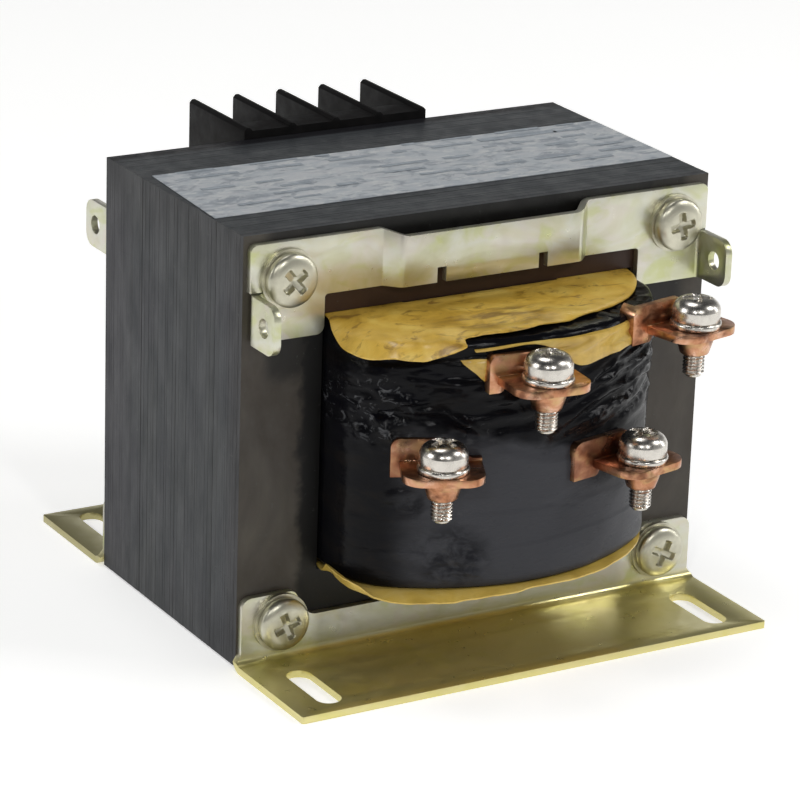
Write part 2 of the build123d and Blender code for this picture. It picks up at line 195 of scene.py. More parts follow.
# --------------------------------------------------------------------------
# material helper
# --------------------------------------------------------------------------
class Mat:
    """Small builder for node materials. Sizes are given in millimetres of the object."""

    def __init__(self, name, **principled):
        self.mat = bpy.data.materials.new(name)
        self.mat.use_nodes = True
        self.nt = self.mat.node_tree
        self.nt.nodes.clear()
        self.out = self.nt.nodes.new("ShaderNodeOutputMaterial")
        self.bsdf = self.nt.nodes.new("ShaderNodeBsdfPrincipled")
        self.nt.links.new(self.bsdf.outputs[0], self.out.inputs[0])
        for k, v in principled.items():
            self.set(k, v)
        self.coord = self.nt.nodes.new("ShaderNodeTexCoord")
        self._bump = None

    NAMES = {"base": "Base Color", "metal": "Metallic", "rough": "Roughness", "ior": "IOR", "coat": "Coat Weight",
             "coat_rough": "Coat Roughness", "spec": "Specular IOR Level", "sheen": "Sheen Weight",
             "aniso": "Anisotropic", "coat_tint": "Coat Tint", "sss": "Subsurface Weight"}

    def set(self, key, value):
        s = self.bsdf.inputs[self.NAMES[key]]
        if isinstance(value, (tuple, list)) and len(value) == 3:
            value = tuple(value) + (1,)
        s.default_value = value

    def link(self, sock, key):
        self.nt.links.new(sock, self.bsdf.inputs[self.NAMES[key]])

    def space(self, scale=(1, 1, 1), loc=(0, 0, 0), rot=(0, 0, 0)):
        """Object coordinates in millimetres, then scaled."""
        n = self.nt.nodes.new("ShaderNodeMapping")
        self.nt.links.new(self.coord.outputs["Object"], n.inputs[0])
        n.inputs["Scale"].default_value = [s / MM for s in scale]
        n.inputs["Location"].default_value = loc
        n.inputs["Rotation"].default_value = rot
        return n.outputs[0]

    def noise(self, vec, scale=1.0, detail=4, rough=0.55, dist=0.0):
        n = self.nt.nodes.new("ShaderNodeTexNoise")
        self.nt.links.new(vec, n.inputs["Vector"])
        n.inputs["Scale"].default_value = scale
        n.inputs["Detail"].default_value = detail
        n.inputs["Roughness"].default_value = rough
        n.inputs["Distortion"].default_value = dist
        return n.outputs["Fac"]

    def voronoi(self, vec, scale=1.0, feature="F1", out="Distance"):
        n = self.nt.nodes.new("ShaderNodeTexVoronoi")
        n.feature = feature
        self.nt.links.new(vec, n.inputs["Vector"])
        n.inputs["Scale"].default_value = scale
        return n.outputs[out]

    def ramp(self, fac, stops, interp="LINEAR"):
        n = self.nt.nodes.new("ShaderNodeValToRGB")
        n.color_ramp.interpolation = interp
        self.nt.links.new(fac, n.inputs[0])
        el_ = n.color_ramp.elements
        while len(el_) < len(stops):
            el_.new(0.5)
        for e, (pos, col) in zip(el_, stops):
            e.position = pos
            e.color = (col, col, col, 1) if isinstance(col, (int, float)) else tuple(col) + (1,)
        return n.outputs[0]

    def mix(self, fac, a, b, mode="MIX"):
        n = self.nt.nodes.new("ShaderNodeMix")
        n.data_type = "RGBA"
        n.blend_type = mode
        for sock, v in ((n.inputs[0], fac), (n.inputs[6], a), (n.inputs[7], b)):
            if isinstance(v, (int, float)):
                sock.default_value = v if sock == n.inputs[0] else (v, v, v, 1)
            elif isinstance(v, (tuple, list)):
                sock.default_value = tuple(v) + (1,)
            else:
                self.nt.links.new(v, sock)
        return n.outputs[2]

    def math(self, op, a, b=None, c=None, clamp=False):
        n = self.nt.nodes.new("ShaderNodeMath")
        n.operation = op
        n.use_clamp = clamp
        for i, v in enumerate((a, b, c)):
            if v is None:
                continue
            if isinstance(v, (int, float)):
                n.inputs[i].default_value = v
            else:
                self.nt.links.new(v, n.inputs[i])
        return n.outputs[0]

    def maprange(self, v, a, b, c=0.0, d=1.0, smooth=False):
        n = self.nt.nodes.new("ShaderNodeMapRange")
        if smooth:
            n.interpolation_type = "SMOOTHSTEP"
        self.nt.links.new(v, n.inputs[0])
        for i, x in enumerate((a, b, c, d), 1):
            n.inputs[i].default_value = x
        return n.outputs[0]

    def xyz(self):
        """Object coordinates in millimetres as three sockets."""
        n = self.nt.nodes.new("ShaderNodeSeparateXYZ")
        self.nt.links.new(self.space(), n.inputs[0])
        return n.outputs

    def normal_z(self):
        g = self.nt.nodes.new("ShaderNodeNewGeometry")
        n = self.nt.nodes.new("ShaderNodeSeparateXYZ")
        self.nt.links.new(g.outputs["Normal"], n.inputs[0])
        return n.outputs

    def pointiness(self):
        g = self.nt.nodes.new("ShaderNodeNewGeometry")
        return g.outputs["Pointiness"]

    def bump(self, height, strength=0.3, dist_mm=0.1, coat=False):
        n = self.nt.nodes.new("ShaderNodeBump")
        n.inputs["Strength"].default_value = strength
        n.inputs["Distance"].default_value = dist_mm * MM
        self.nt.links.new(height, n.inputs["Height"])
        if self._bump is not None:
            self.nt.links.new(self._bump, n.inputs["Normal"])
        self._bump = n.outputs[0]
        self.nt.links.new(self._bump, self.bsdf.inputs["Normal"])
        if coat:
            self.nt.links.new(self._bump, self.bsdf.inputs["Coat Normal"])
        return n.outputs[0]


def give(ob, mat):
    ob.data.materials.clear()
    ob.data.materials.append(mat.mat)


def bevel_cad(name, width=0.2, seg=2, angle=32):
    """Softens the edges of a carried-over node, without touching its mesh."""
    ob = nodes[name]
    w = ob.modifiers.new("weld", "WELD")
    w.merge_threshold = 0.00001
    b = ob.modifiers.new("edge", "BEVEL")
    b.width = width * MM
    b.segments = seg
    b.limit_method = "ANGLE"
    b.angle_limit = math.radians(angle)
    b.harden_normals = True
    for poly in ob.data.polygons:
        poly.use_smooth = True
    return ob


# --------------------------------------------------------------------------
# materials
# --------------------------------------------------------------------------
def mat_varnish():
    """Dark blue-grey insulating varnish over the edges of the laminations."""
    k = Mat("varnished_laminations", rough=0.45, spec=0.28, coat=0.08, coat_rough=0.28)
    x, y, z = k.xyz()
    ax = k.math("ABSOLUTE", x)
    # bunches of laminations that took the varnish differently: bands across the stack
    bands = k.noise(k.space((0.02, 1.1, 0.02)), 1.0, 3, 0.6)
    fine = k.noise(k.space((0.05, 5.0, 0.02)), 1.0, 2, 0.6)
    broad = k.noise(k.space((0.03, 0.09, 0.03)), 1.0, 3, 0.5)
    col = k.ramp(broad, [(0.3, (0.020, 0.021, 0.030)), (0.48, (0.023, 0.028, 0.034)), (0.7, (0.027, 0.032, 0.034))])
    # purple-grey band towards the rear, browner towards the front edge
    rear = k.maprange(y, 14, 27, 0, 0.8, True)
    col = k.mix(rear, col, (0.028, 0.026, 0.036))
    frontb = k.maprange(y, -24, -31.2, 0, 0.65, True)
    col = k.mix(frontb, col, (0.028, 0.023, 0.025))
    col = k.mix(0.30, col, k.ramp(bands, [(0.3, 0.66), (0.7, 1.0)]), "MULTIPLY")
    col = k.mix(0.22, col, k.ramp(fine, [(0.3, 0.5), (0.75, 1.0)]), "MULTIPLY")
    # painted shade: the side faces are darkened a little all over, and more towards the top, the bottom and the front
    # edge
    side = k.maprange(k.math("ABSOLUTE", k.normal_z()[0]), 0.6, 0.8, 0, 1)
    side_painted_shade = k.math("MAXIMUM", k.maprange(z, 78.0, 94.0, 0.30, 0.80, True), k.maprange(y, -22.0, -30.0, 0, 0.70, True))
    side_painted_shade = k.math("MAXIMUM", side_painted_shade, k.maprange(z, 14.0, 2.0, 0.30, 0.62, True))
    col = k.mix(k.math("MULTIPLY", side, side_painted_shade), col, (0.008, 0.009, 0.011))
    # the top is smoother, with a black line along its rear edge
    topf = k.maprange(k.normal_z()[2], 0.7, 0.9, 0, 1)
    n_top = k.noise(k.space((0.05, 0.25, 0.05), (3.0, 0, 0)), 1.0, 3, 0.55)
    tcol = k.ramp(n_top, [(0.3, (0.026, 0.030, 0.033)), (0.7, (0.044, 0.050, 0.053))])
    tcol = k.mix(k.maprange(y, 28.1, 28.8, 0, 0.97, True), tcol, (0.003, 0.003, 0.004))
    col = k.mix(k.math("MULTIPLY", topf, 0.85), col, tcol)
    # the end laminations' flat faces are browner, with dry stains
    face = k.maprange(k.math("ABSOLUTE", k.normal_z()[1]), 0.6, 0.8, 0, 1)
    stain = k.noise(k.space((0.09, 0.09, 0.05)), 1.0, 4, 0.62, 0.4)
    fcol = k.ramp(stain, [(0.3, (0.040, 0.032, 0.024)), (0.52, (0.058, 0.050, 0.041)), (0.72, (0.080, 0.071, 0.056))])
    # near-black painted shade: the strip beside the coil and the gap above the joggled strap; the upper legs under the
    # pads are darkened as well
    wob = k.math("MULTIPLY", k.math("SUBTRACT", k.noise(k.space((0.16, 0.1, 0.16), (4.4, 0, 1.1)), 1.0, 3, 0.6), 0.5), 7.0)
    beside = k.maprange(k.math("ADD", ax, wob), 44.6, 41.6, 0, 1, True)
    below = k.math("MULTIPLY", k.maprange(k.math("ADD", z, wob), 61.0, 66.5, 0, 0.85, True), k.maprange(ax, 53.5, 49.5, 0, 1, True))
    above = k.math("MULTIPLY", k.maprange(z, 91.6, 92.2, 0, 1, True),
                   k.math("MULTIPLY", k.maprange(ax, 27.5, 25.5, 0, 1, True), k.maprange(z, 95.5, 95.0, 0, 1, True)))
    painted_shade_pool = k.math("MAXIMUM", k.math("MAXIMUM", beside, below), above)
    fcol = k.mix(k.math("MULTIPLY", painted_shade_pool, 0.97), fcol, (0.003, 0.003, 0.003))
    yoke = k.math("MULTIPLY", k.maprange(ax, 41.0, 37.5, 0, 1, True),
                  k.math("MULTIPLY", k.maprange(z, 75.0, 77.0, 0, 1, True), k.maprange(z, 91.5, 90.0, 0, 1, True)))
    fcol = k.mix(k.math("MULTIPLY", yoke, 0.85), fcol, (0.050, 0.024, 0.014))
    col = k.mix(face, col, fcol)
    # dull specks and runs
    spec = k.noise(k.space((0.9, 0.9, 0.9)), 1.0, 3, 0.7)
    col = k.mix(k.ramp(spec, [(0.66, 0.0), (0.78, 0.5)]), col, (0.09, 0.10, 0.09))
    k.link(col, "base")
    k.link(k.ramp(k.noise(k.space((0.25, 0.25, 0.08)), 1.0, 5, 0.6), [(0.3, 0.34), (0.7, 0.56)]), "rough")
    k.bump(k.noise(k.space((0.35, 1.4, 0.22)), 1.0, 4, 0.6), 0.35, 0.12)
    k.bump(k.noise(k.space((2.5, 2.5, 2.5)), 1.0, 2, 0.5), 0.25, 0.03)
    return k


def mat_tape():
    k = Mat("black_varnished_tape", rough=0.3, spec=0.09, ior=1.5)
    x, y, z = k.xyz()
    n1 = k.noise(k.space((0.07, 0.07, 0.2)), 1.0, 4, 0.6, 0.5)
    col = k.ramp(n1, [(0.3, (0.003, 0.003, 0.005)), (0.55, (0.005, 0.005, 0.006)), (0.75, (0.010, 0.008, 0.007))])
    # painted reflection: the lower right of the tape is made greyer, standing in for the sheen of the room on it
    slope = k.math("ADD", z, k.math("MULTIPLY", x, 0.22))
    wav = k.math("MULTIPLY", k.math("SUBTRACT", k.noise(k.space((0.09, 0.09, 0.2), (2.0, 0.5, 3.0)), 1.0, 3, 0.55), 0.5), 9.0)
    painted_sheen_area = k.math("MULTIPLY", k.maprange(k.math("ADD", x, k.math("MULTIPLY", wav, 0.6)), -33, -24, 0, 1, True),
                  k.maprange(k.math("ADD", slope, wav), 52.5, 48.0, 0, 1, True))
    col = k.mix(painted_sheen_area, col, (0.047, 0.048, 0.054))
    # near-black painted shade in the creases low on the left and under terminals 1 and 3
    for cx, cz, rx, rz, q in ((-19.5, 28.0, 8.0, 7.5, 0.7), (21.0, 41.5, 9.0, 3.2, 0.75), (-28.5, 39.5, 4.0, 3.5, 0.9)):
        ex = k.math("DIVIDE", k.math("ADD", x, -cx), rx)
        ez = k.math("DIVIDE", k.math("ADD", z, -cz), rz)
        r = k.math("SQRT", k.math("ADD", k.math("MULTIPLY", ex, ex), k.math("MULTIPLY", ez, ez)))
        nn = k.ramp(k.noise(k.space((0.22, 0.22, 0.34), (cx, 0.5, cz)), 1.0, 4, 0.62, 0.5), [(0.38, 0.0), (0.58, 1.0)])
        col = k.mix(k.math("MULTIPLY", k.math("MULTIPLY", k.maprange(r, 1.25, 0.5, 0, q, True), nn),
                           k.maprange(y, -30, -34, 0, 1, True)), col, (0.004, 0.004, 0.006))
    # painted highlights on the crests of the crumpled tape, high on the left and above terminal 1
    for cx, cz, rx, rz, lean, q in ((-33.6, 60.0, 5.5, 7.5, 0.0, 0.75), (-15.9, 57.0, 3.4, 1.5, -0.55, 0.9)):
        ex = k.math("DIVIDE", k.math("ADD", x, -cx), rx)
        ez = k.math("DIVIDE", k.math("SUBTRACT", k.math("ADD", z, -cz), k.math("MULTIPLY", k.math("ADD", x, -cx), lean)), rz)
        r = k.math("SQRT", k.math("ADD", k.math("MULTIPLY", ex, ex), k.math("MULTIPLY", ez, ez)))
        nn = k.ramp(k.noise(k.space((0.42, 0.42, 0.62), (cx, 2.5, cz)), 1.0, 4, 0.6, 0.7), [(0.56, 0.0), (0.66, 1.0)])
        col = k.mix(k.math("MULTIPLY", k.math("MULTIPLY", k.maprange(r, 1.2, 0.6, 0, q, True), nn),
                           k.maprange(y, -30, -34, 0, 1, True)), col, (0.115, 0.118, 0.125))
    k.link(col, "base")
    gl = k.ramp(k.noise(k.space((0.2, 0.2, 0.5)), 1.0, 4, 0.6), [(0.3, 0.10), (0.7, 0.24)])
    k.link(k.math("ADD", gl, k.math("MULTIPLY", painted_sheen_area, 0.14)), "rough")
    k.bump(k.noise(k.space((0.28, 0.28, 1.1)), 1.0, 4, 0.6, 0.8), 0.35, 0.25)
    k.bump(k.noise(k.space((1.6, 1.6, 2.4)), 1.0, 3, 0.55), 0.25, 0.05)
    return k


def mat_yellow(name, brown=0.5, base=((0.50, 0.28, 0.035), (0.68, 0.42, 0.07), (0.78, 0.55, 0.14))):
    k = Mat(name, rough=0.42, spec=0.45, coat=0.35, coat_rough=0.2, sss=0.0)
    n1 = k.noise(k.space((0.11, 0.11, 0.11)), 1.0, 4, 0.6, 0.6)
    col = k.ramp(n1, [(0.28, base[0]), (0.5, base[1]), (0.74, base[2])])
    n2 = k.noise(k.space((0.16, 0.32, 0.3), (3.1, 1.7, 0.4)), 1.0, 5, 0.6, 0.9)
    col = k.mix(k.ramp(n2, [(0.56, 0.0), (0.68, brown)]), col, (0.24, 0.12, 0.018))
    x, y, z = k.xyz()
    dx = k.math("DIVIDE", k.math("ADD", x, 5.0), 15.0)
    dy = k.math("DIVIDE", k.math("ADD", y, 48.5), 7.0)
    r = k.math("SQRT", k.math("ADD", k.math("MULTIPLY", dx, dx), k.math("MULTIPLY", dy, dy)))
    n4 = k.noise(k.space((0.12, 0.42, 0.3), (0.0, 5.0, 2.4)), 1.0, 4, 0.6, 0.6)
    patch = k.math("MULTIPLY", k.maprange(r, 1.3, 0.4, 0, 1, True), k.ramp(n4, [(0.42, 0.0), (0.6, 1.0)]))
    col = k.mix(k.math("MULTIPLY", patch, brown), col, (0.22, 0.12, 0.02))
    fib = k.noise(k.space((0.6, 6.0, 2.0)), 1.0, 3, 0.6)
    col = k.mix(0.3, col, k.ramp(fib, [(0.3, 0.7), (0.7, 1.0)]), "MULTIPLY")
    k.link(col, "base")
    k.link(k.ramp(n1, [(0.3, 0.32), (0.7, 0.5)]), "rough")
    k.bump(n2, 0.25, 0.12)
    k.bump(fib, 0.15, 0.03)
    return k


def mat_chromate():
    """Yellow zinc chromate on sheet steel: pale, with patches of green, yellow and rose."""
    k = Mat("yellow_chromate_steel", metal=0.82, rough=0.32)
    n1 = k.noise(k.space((0.045, 0.06, 0.075)), 1.0, 4, 0.55, 0.8)
    col = k.ramp(n1, [(0.28, (0.50, 0.50, 0.33)), (0.42, (0.60, 0.60, 0.44)), (0.52, (0.66, 0.66, 0.56)),
                      (0.62, (0.64, 0.62, 0.46)), (0.74, (0.50, 0.53, 0.32))])
    n2 = k.noise(k.space((0.10, 0.16, 0.13), (7.7, 2.2, 0.9)), 1.0, 3, 0.5, 0.6)
    col = k.mix(k.ramp(n2, [(0.5, 0.0), (0.66, 0.4)]), col, (0.68, 0.60, 0.58))
    n3 = k.noise(k.space((0.13, 0.12, 0.2), (1.2, 9.2, 4.9)), 1.0, 3, 0.5, 0.6)
    col = k.mix(k.ramp(n3, [(0.52, 0.0), (0.66, 0.55)]), col, (0.52, 0.55, 0.20))
    # the feet carry a deeper gold than the pads
    x, y, z = k.xyz()
    foot = k.maprange(z, 4.5, 1.6, 0, 0.75, True)
    col = k.mix(foot, col, (0.78, 0.69, 0.24))
    # painted shade along the middle of the front foot's upright, under the coil, and on the rear foot's plate
    foot_painted_shade = k.math("MULTIPLY", k.maprange(y, -30.0, -31.0, 0, 0.34, True),
                  k.math("MULTIPLY", k.math("MULTIPLY", k.maprange(z, 1.4, 2.2, 0, 1, True), k.maprange(z, 22.0, 18.0, 0, 1, True)),
                         k.maprange(k.math("ABSOLUTE", x), 41.0, 37.0, 0, 1, True)))
    foot_painted_shade = k.math("MAXIMUM", foot_painted_shade, k.math("MULTIPLY", k.maprange(y, 30.0, 34.0, 0, 0.5, True), k.maprange(z, 3.0, 2.0, 0, 1, True)))
    col = k.mix(foot_painted_shade, col, (0.10, 0.09, 0.06))
    k.link(col, "base")
    k.link(k.ramp(k.noise(k.space((0.3, 0.3, 0.3)), 1.0, 5, 0.6), [(0.3, 0.26), (0.7, 0.40)]), "rough")
    grain = k.noise(k.space((0.25, 2.2, 3.0)), 1.0, 3, 0.6)
    k.bump(grain, 0.12, 0.03)
    k.bump(k.noise(k.space((0.09, 0.09, 0.09)), 1.0, 2, 0.5), 0.3, 0.3)
    return k


def mat_copper():
    k = Mat("bare_copper", metal=1.0, rough=0.3)
    n1 = k.noise(k.space((0.2, 0.2, 0.2)), 1.0, 4, 0.6, 0.6)
    col = k.ramp(n1, [(0.28, (0.22, 0.095, 0.045)), (0.42, (0.46, 0.21, 0.11)), (0.56, (0.60, 0.31, 0.185)), (0.7, (0.72, 0.47, 0.34))])
    # straw-coloured and dark brown tarnish in places
    n2 = k.noise(k.space((0.22, 0.22, 0.3), (6.1, 2.2, 3.3)), 1.0, 3, 0.5, 0.5)
    col = k.mix(k.ramp(n2, [(0.5, 0.0), (0.66, 0.65)]), col, (0.60, 0.41, 0.19))
    n3 = k.noise(k.space((0.22, 0.22, 0.25), (1.1, 8.8, 2.0)), 1.0, 3, 0.5, 0.5)
    col = k.mix(k.ramp(n3, [(0.5, 0.0), (0.66, 0.8)]), col, (0.13, 0.05, 0.03))
    # painted shade: the uprights of the two lower straps are darkened to brown beside the tape
    x, y, z = k.xyz()
    yy = k.math("ADD", y, 7.5)
    r = k.math("SQRT", k.math("ADD", k.math("MULTIPLY", x, x), k.math("MULTIPLY", yy, yy)))
    upright_painted_shade = k.math("MULTIPLY", k.maprange(r, 57.6, 54.8, 0, 1, True), k.maprange(z, 60.0, 56.0, 0, 1, True))
    col = k.mix(k.math("MULTIPLY", upright_painted_shade, k.ramp(n2, [(0.3, 0.85), (0.6, 0.45)])), col, (0.15, 0.055, 0.032))
    k.link(col, "base")
    k.link(k.ramp(n1, [(0.3, 0.42), (0.7, 0.24)]), "rough")
    k.bump(k.noise(k.space((1.2, 1.2, 3.0)), 1.0, 3, 0.6), 0.15, 0.04)
    return k


def mat_nickel(name="bright_nickel", base=(0.68, 0.645, 0.59), r=(0.2, 0.32)):
    k = Mat(name, metal=1.0, rough=0.18)
    n1 = k.noise(k.space((0.5, 0.5, 0.5)), 1.0, 4, 0.6)
    col = k.ramp(n1, [(0.3, tuple(c * 0.86 for c in base)), (0.65, base)])
    k.link(col, "base")
    k.link(k.ramp(n1, [(0.3, r[1]), (0.7, r[0])]), "rough")
    k.bump(k.noise(k.space((2.2, 2.2, 2.2)), 1.0, 2, 0.5), 0.08, 0.03)
    return k


def mat_moulding():
    k = Mat("black_phenolic", rough=0.6, spec=0.1)
    n1 = k.noise(k.space((0.3, 0.3, 0.3)), 1.0, 4, 0.6)
    k.link(k.ramp(n1, [(0.3, (0.004, 0.004, 0.004)), (0.7, (0.009, 0.008, 0.008))]), "base")
    k.link(k.ramp(n1, [(0.3, 0.5), (0.7, 0.68)]), "rough")
    k.bump(k.noise(k.space((3.0, 3.0, 3.0)), 1.0, 3, 0.6), 0.2, 0.04)
    return k


def mat_plain(name, a, b, rough, metal=0.0, scale=0.3, bump=0.1):
    k = Mat(name, metal=metal, rough=rough)
    n1 = k.noise(k.space((scale, scale, scale)), 1.0, 4, 0.6)
    k.link(k.ramp(n1, [(0.3, a), (0.7, b)]), "base")
    k.link(k.ramp(n1, [(0.3, rough * 0.8), (0.7, min(1.0, rough * 1.2))]), "rough")
    k.bump(k.noise(k.space((scale * 6, scale * 6, scale * 6)), 1.0, 2, 0.5), bump, 0.05)
    return k


def mat_label():
    k = Mat("silver_foil_label", rough=0.4, metal=0.35, spec=0.5)
    n1 = k.noise(k.space((0.16, 0.3, 0.2)), 1.0, 4, 0.6, 0.7)
    col = k.ramp(n1, [(0.3, (0.42, 0.47, 0.52)), (0.47, (0.56, 0.60, 0.63)), (0.6, (0.64, 0.66, 0.68)), (0.75, (0.56, 0.58, 0.61))])
    n2 = k.noise(k.space((0.14, 0.30, 0.3), (2.0, 3.0, 0)), 1.0, 4, 0.6, 0.8)
    col = k.mix(k.ramp(n2, [(0.5, 0.0), (0.62, 0.8)]), col, (0.29, 0.33, 0.38))
    n3 = k.noise(k.space((0.28, 0.6, 0.3), (7.0, 1.0, 0)), 1.0, 4, 0.6, 0.5)
    col = k.mix(k.ramp(n3, [(0.53, 0.0), (0.64, 0.7)]), col, (0.76, 0.78, 0.77))
    k.link(col, "base")
    k.link(k.ramp(n1, [(0.3, 0.3), (0.7, 0.5)]), "rough")
    k.bump(k.noise(k.space((0.2, 0.2, 0.2)), 1.0, 3, 0.5), 0.2, 0.15)
    return k


M = {
    "varnish": mat_varnish(),
    "tape": mat_tape(),
    "yellow": mat_yellow("yellow_insulation_sheet", 0.8, ((0.50, 0.29, 0.03), (0.74, 0.47, 0.07), (0.86, 0.62, 0.14))),
    "yellow2": mat_yellow("pale_insulation_strip", 0.25, ((0.44, 0.27, 0.035), (0.64, 0.42, 0.075), (0.72, 0.54, 0.16))),
    "rim": mat_yellow("yellow_rim_sheet", 0.15, ((0.55, 0.36, 0.06), (0.72, 0.50, 0.10), (0.78, 0.58, 0.18))),
    "print": mat_plain("label_print", (0.22, 0.26, 0.30), (0.42, 0.46, 0.50), 0.45, 0.0, 0.5),
    "chromate": mat_chromate(),
    "copper": mat_copper(),
    "nickel": mat_nickel(),
    "zinc": mat_nickel("pale_zinc", (0.62, 0.60, 0.48), (0.3, 0.44)),
    "black": mat_moulding(),
    "label": mat_label(),
    "tinned": mat_nickel("tinned_brass", (0.62, 0.60, 0.55), (0.25, 0.4)),
    "wire": mat_plain("enamelled_wire", (0.34, 0.10, 0.035), (0.48, 0.17, 0.06), 0.3, 0.6),
    "fibre": mat_plain("fibre_tube", (0.30, 0.19, 0.08), (0.42, 0.28, 0.13), 0.7),
    "sleeve": mat_plain("varnished_sleeving", (0.42, 0.28, 0.05), (0.55, 0.38, 0.09), 0.4),
}

for n, key in {"winding_tube": "fibre", "primary_winding": "wire", "interwinding_insulation": "yellow",
               "secondary_winding": "wire", "top_bracket_front": "chromate", "top_bracket_rear": "chromate",
               "foot_bracket_front": "chromate", "foot_bracket_rear": "chromate", "core_screws": "zinc",
               "core_washers": "zinc", "core_lock_washers": "zinc", "core_nuts": "zinc",
               "rear_terminal_block": "black", "rear_terminal_plates": "tinned", "rear_leads": "sleeve",
               "nameplate": "label", "coil_wrap": "tape", "top_end_insulation": "yellow",
               "bottom_end_insulation": "yellow", "core_stack": "varnish"}.items():
    give(nodes[n], M[key])
for i in range(1, 5):
    give(nodes[f"terminal_strap_{i}"], M["copper"])
    for n in ("clamp_washer", "terminal_screw", "rear_clamp", "rear_screw"):
        give(nodes[f"{n}_{i}"], M["nickel"])

for n, w in (("top_bracket_front", 0.3), ("top_bracket_rear", 0.3), ("foot_bracket_front", 0.3), ("foot_bracket_rear", 0.3),
             ("rear_terminal_block", 0.25)):
    bevel_cad(n, w, 3)
for i in range(1, 5):
    bevel_cad(f"terminal_strap_{i}", 0.25, 2)
    bevel_cad(f"rear_clamp_{i}", 0.12, 2)

# --------------------------------------------------------------------------
# lamination stack: 127 E and I stampings, stacked both ways round
# --------------------------------------------------------------------------
CW, CH, CD, Z0, LEG = 114.3, 95.25, 63.5, 0.4, 19.05
HOLE_R, PITCH = 2.75, 0.5


def cell_faces(cols, rows, pts, index, skip, holes):
    """Grid of cells as faces. holes maps a cell to (x, z, r): the cell becomes a ring of triangles."""
    faces = []
    for i in range(len(cols) - 1):
        for j in range(len(rows) - 1):
            if (i, j) in skip:
                continue
            q = []
            for (a, b) in ((i, j), (i + 1, j), (i + 1, j + 1), (i, j + 1)):
                if (a, b) not in index:
                    index[(a, b)] = len(pts)
                    pts.append((cols[a], rows[b]))
                q.append(index[(a, b)])
            if (i, j) not in holes:
                faces.append(q)
                continue
            cx, cz, r = holes[(i, j)]
            ring = []
            for k in range(16):
                ang = math.radians(-135 + 22.5 * k)
                ring.append(len(pts))
                pts.append((cx + r * math.cos(ang), cz + r * math.sin(ang)))
            for c in range(4):
                for k in range(4):
                    n0, n1 = ring[(4 * c + k) % 16], ring[(4 * c + k + 1) % 16]
                    faces.append([q[c] if k < 2 else q[(c + 1) % 4], n1, n0])
                faces.append([q[c], q[(c + 1) % 4], ring[(4 * c + 2) % 16]])
    return faces


def lamination(k, flip):
    jit = lambda s: float(rng.random() * s)
    end = k in (0, 126)
    s = 0.0 if end else 0.035
    x0, x1 = -CW / 2 + jit(s), CW / 2 - jit(s)
    z0, z1 = Z0 + jit(s), Z0 + CH - jit(s)
    if k % 9 == 4:
        x0, x1, z1 = -CW / 2, CW / 2, Z0 + CH
    if k in (23, 58, 91):
        x0 += 0.05
    wl, wr = -LEG + jit(0.04), LEG - jit(0.04)
    ol, orr = -2 * LEG - jit(0.05), 2 * LEG + jit(0.05)
    seam = 0.008
    lo, hi = Z0 + LEG - jit(0.03), Z0 + LEG + 57.15 + jit(0.03)
    cols = [x0, ol, wl, wr, orr, x1]
    holes_lo = {(0, 0): (-47.625, Z0 + 9.525, HOLE_R), (4, 0): (47.625, Z0 + 9.525, HOLE_R)}
    out = []
    # E part
    if flip:
        rows_e, rows_i = [z0, lo, hi - seam], [hi + seam, z1]
        pts, idx = [], {}
        fe = cell_faces(cols, rows_e, pts, idx, {(1, 1), (3, 1)}, holes_lo)
        out.append((pts, fe))
        pts, idx = [], {}
        hh = {(0, 0): (-47.625, Z0 + CH - 9.525, HOLE_R), (4, 0): (47.625, Z0 + CH - 9.525, HOLE_R)}
        fi = cell_faces(cols, rows_i, pts, idx, set(), hh)
        out.append((pts, fi))
    else:
        rows_e, rows_i = [lo + seam, hi, z1], [z0, lo - seam]
        pts, idx = [], {}
        hh = {(0, 1): (-47.625, Z0 + CH - 9.525, HOLE_R), (4, 1): (47.625, Z0 + CH - 9.525, HOLE_R)}
        fe = cell_faces(cols, rows_e, pts, idx, {(1, 0), (3, 0)}, hh)
        out.append((pts, fe))
        pts, idx = [], {}
        fi = cell_faces(cols, rows_i, pts, idx, set(), holes_lo)
        out.append((pts, fi))
    return out


parts = []
for k in range(127):
    y = -CD / 2 + k * PITCH
    for pts, fs in lamination(k, flip=(k // 2) % 2 == 0):
        v, f = extrude2d(pts, fs, 0, PITCH - 0.012)
        # (x, z, depth) -> (x, y, z), turning the faces back outward
        v = np.column_stack([v[:, 0], y + v[:, 2], v[:, 1]])
        parts.append((v, [list(reversed(q)) for q in f]))
v, f = join_parts(parts)
core = link("core_laminations", v, f, "root_frame", ["core_stack"], None)
give(core, M["varnish"])

# --------------------------------------------------------------------------
# coil tape: one wound body, following the bowed outline
# --------------------------------------------------------------------------
HX, FA, FR, FRC, RA, RR, RRC, WT = 37.6, 59.5, 52.0, 14.0, 52.3, 160.0, 10.0, 1.25


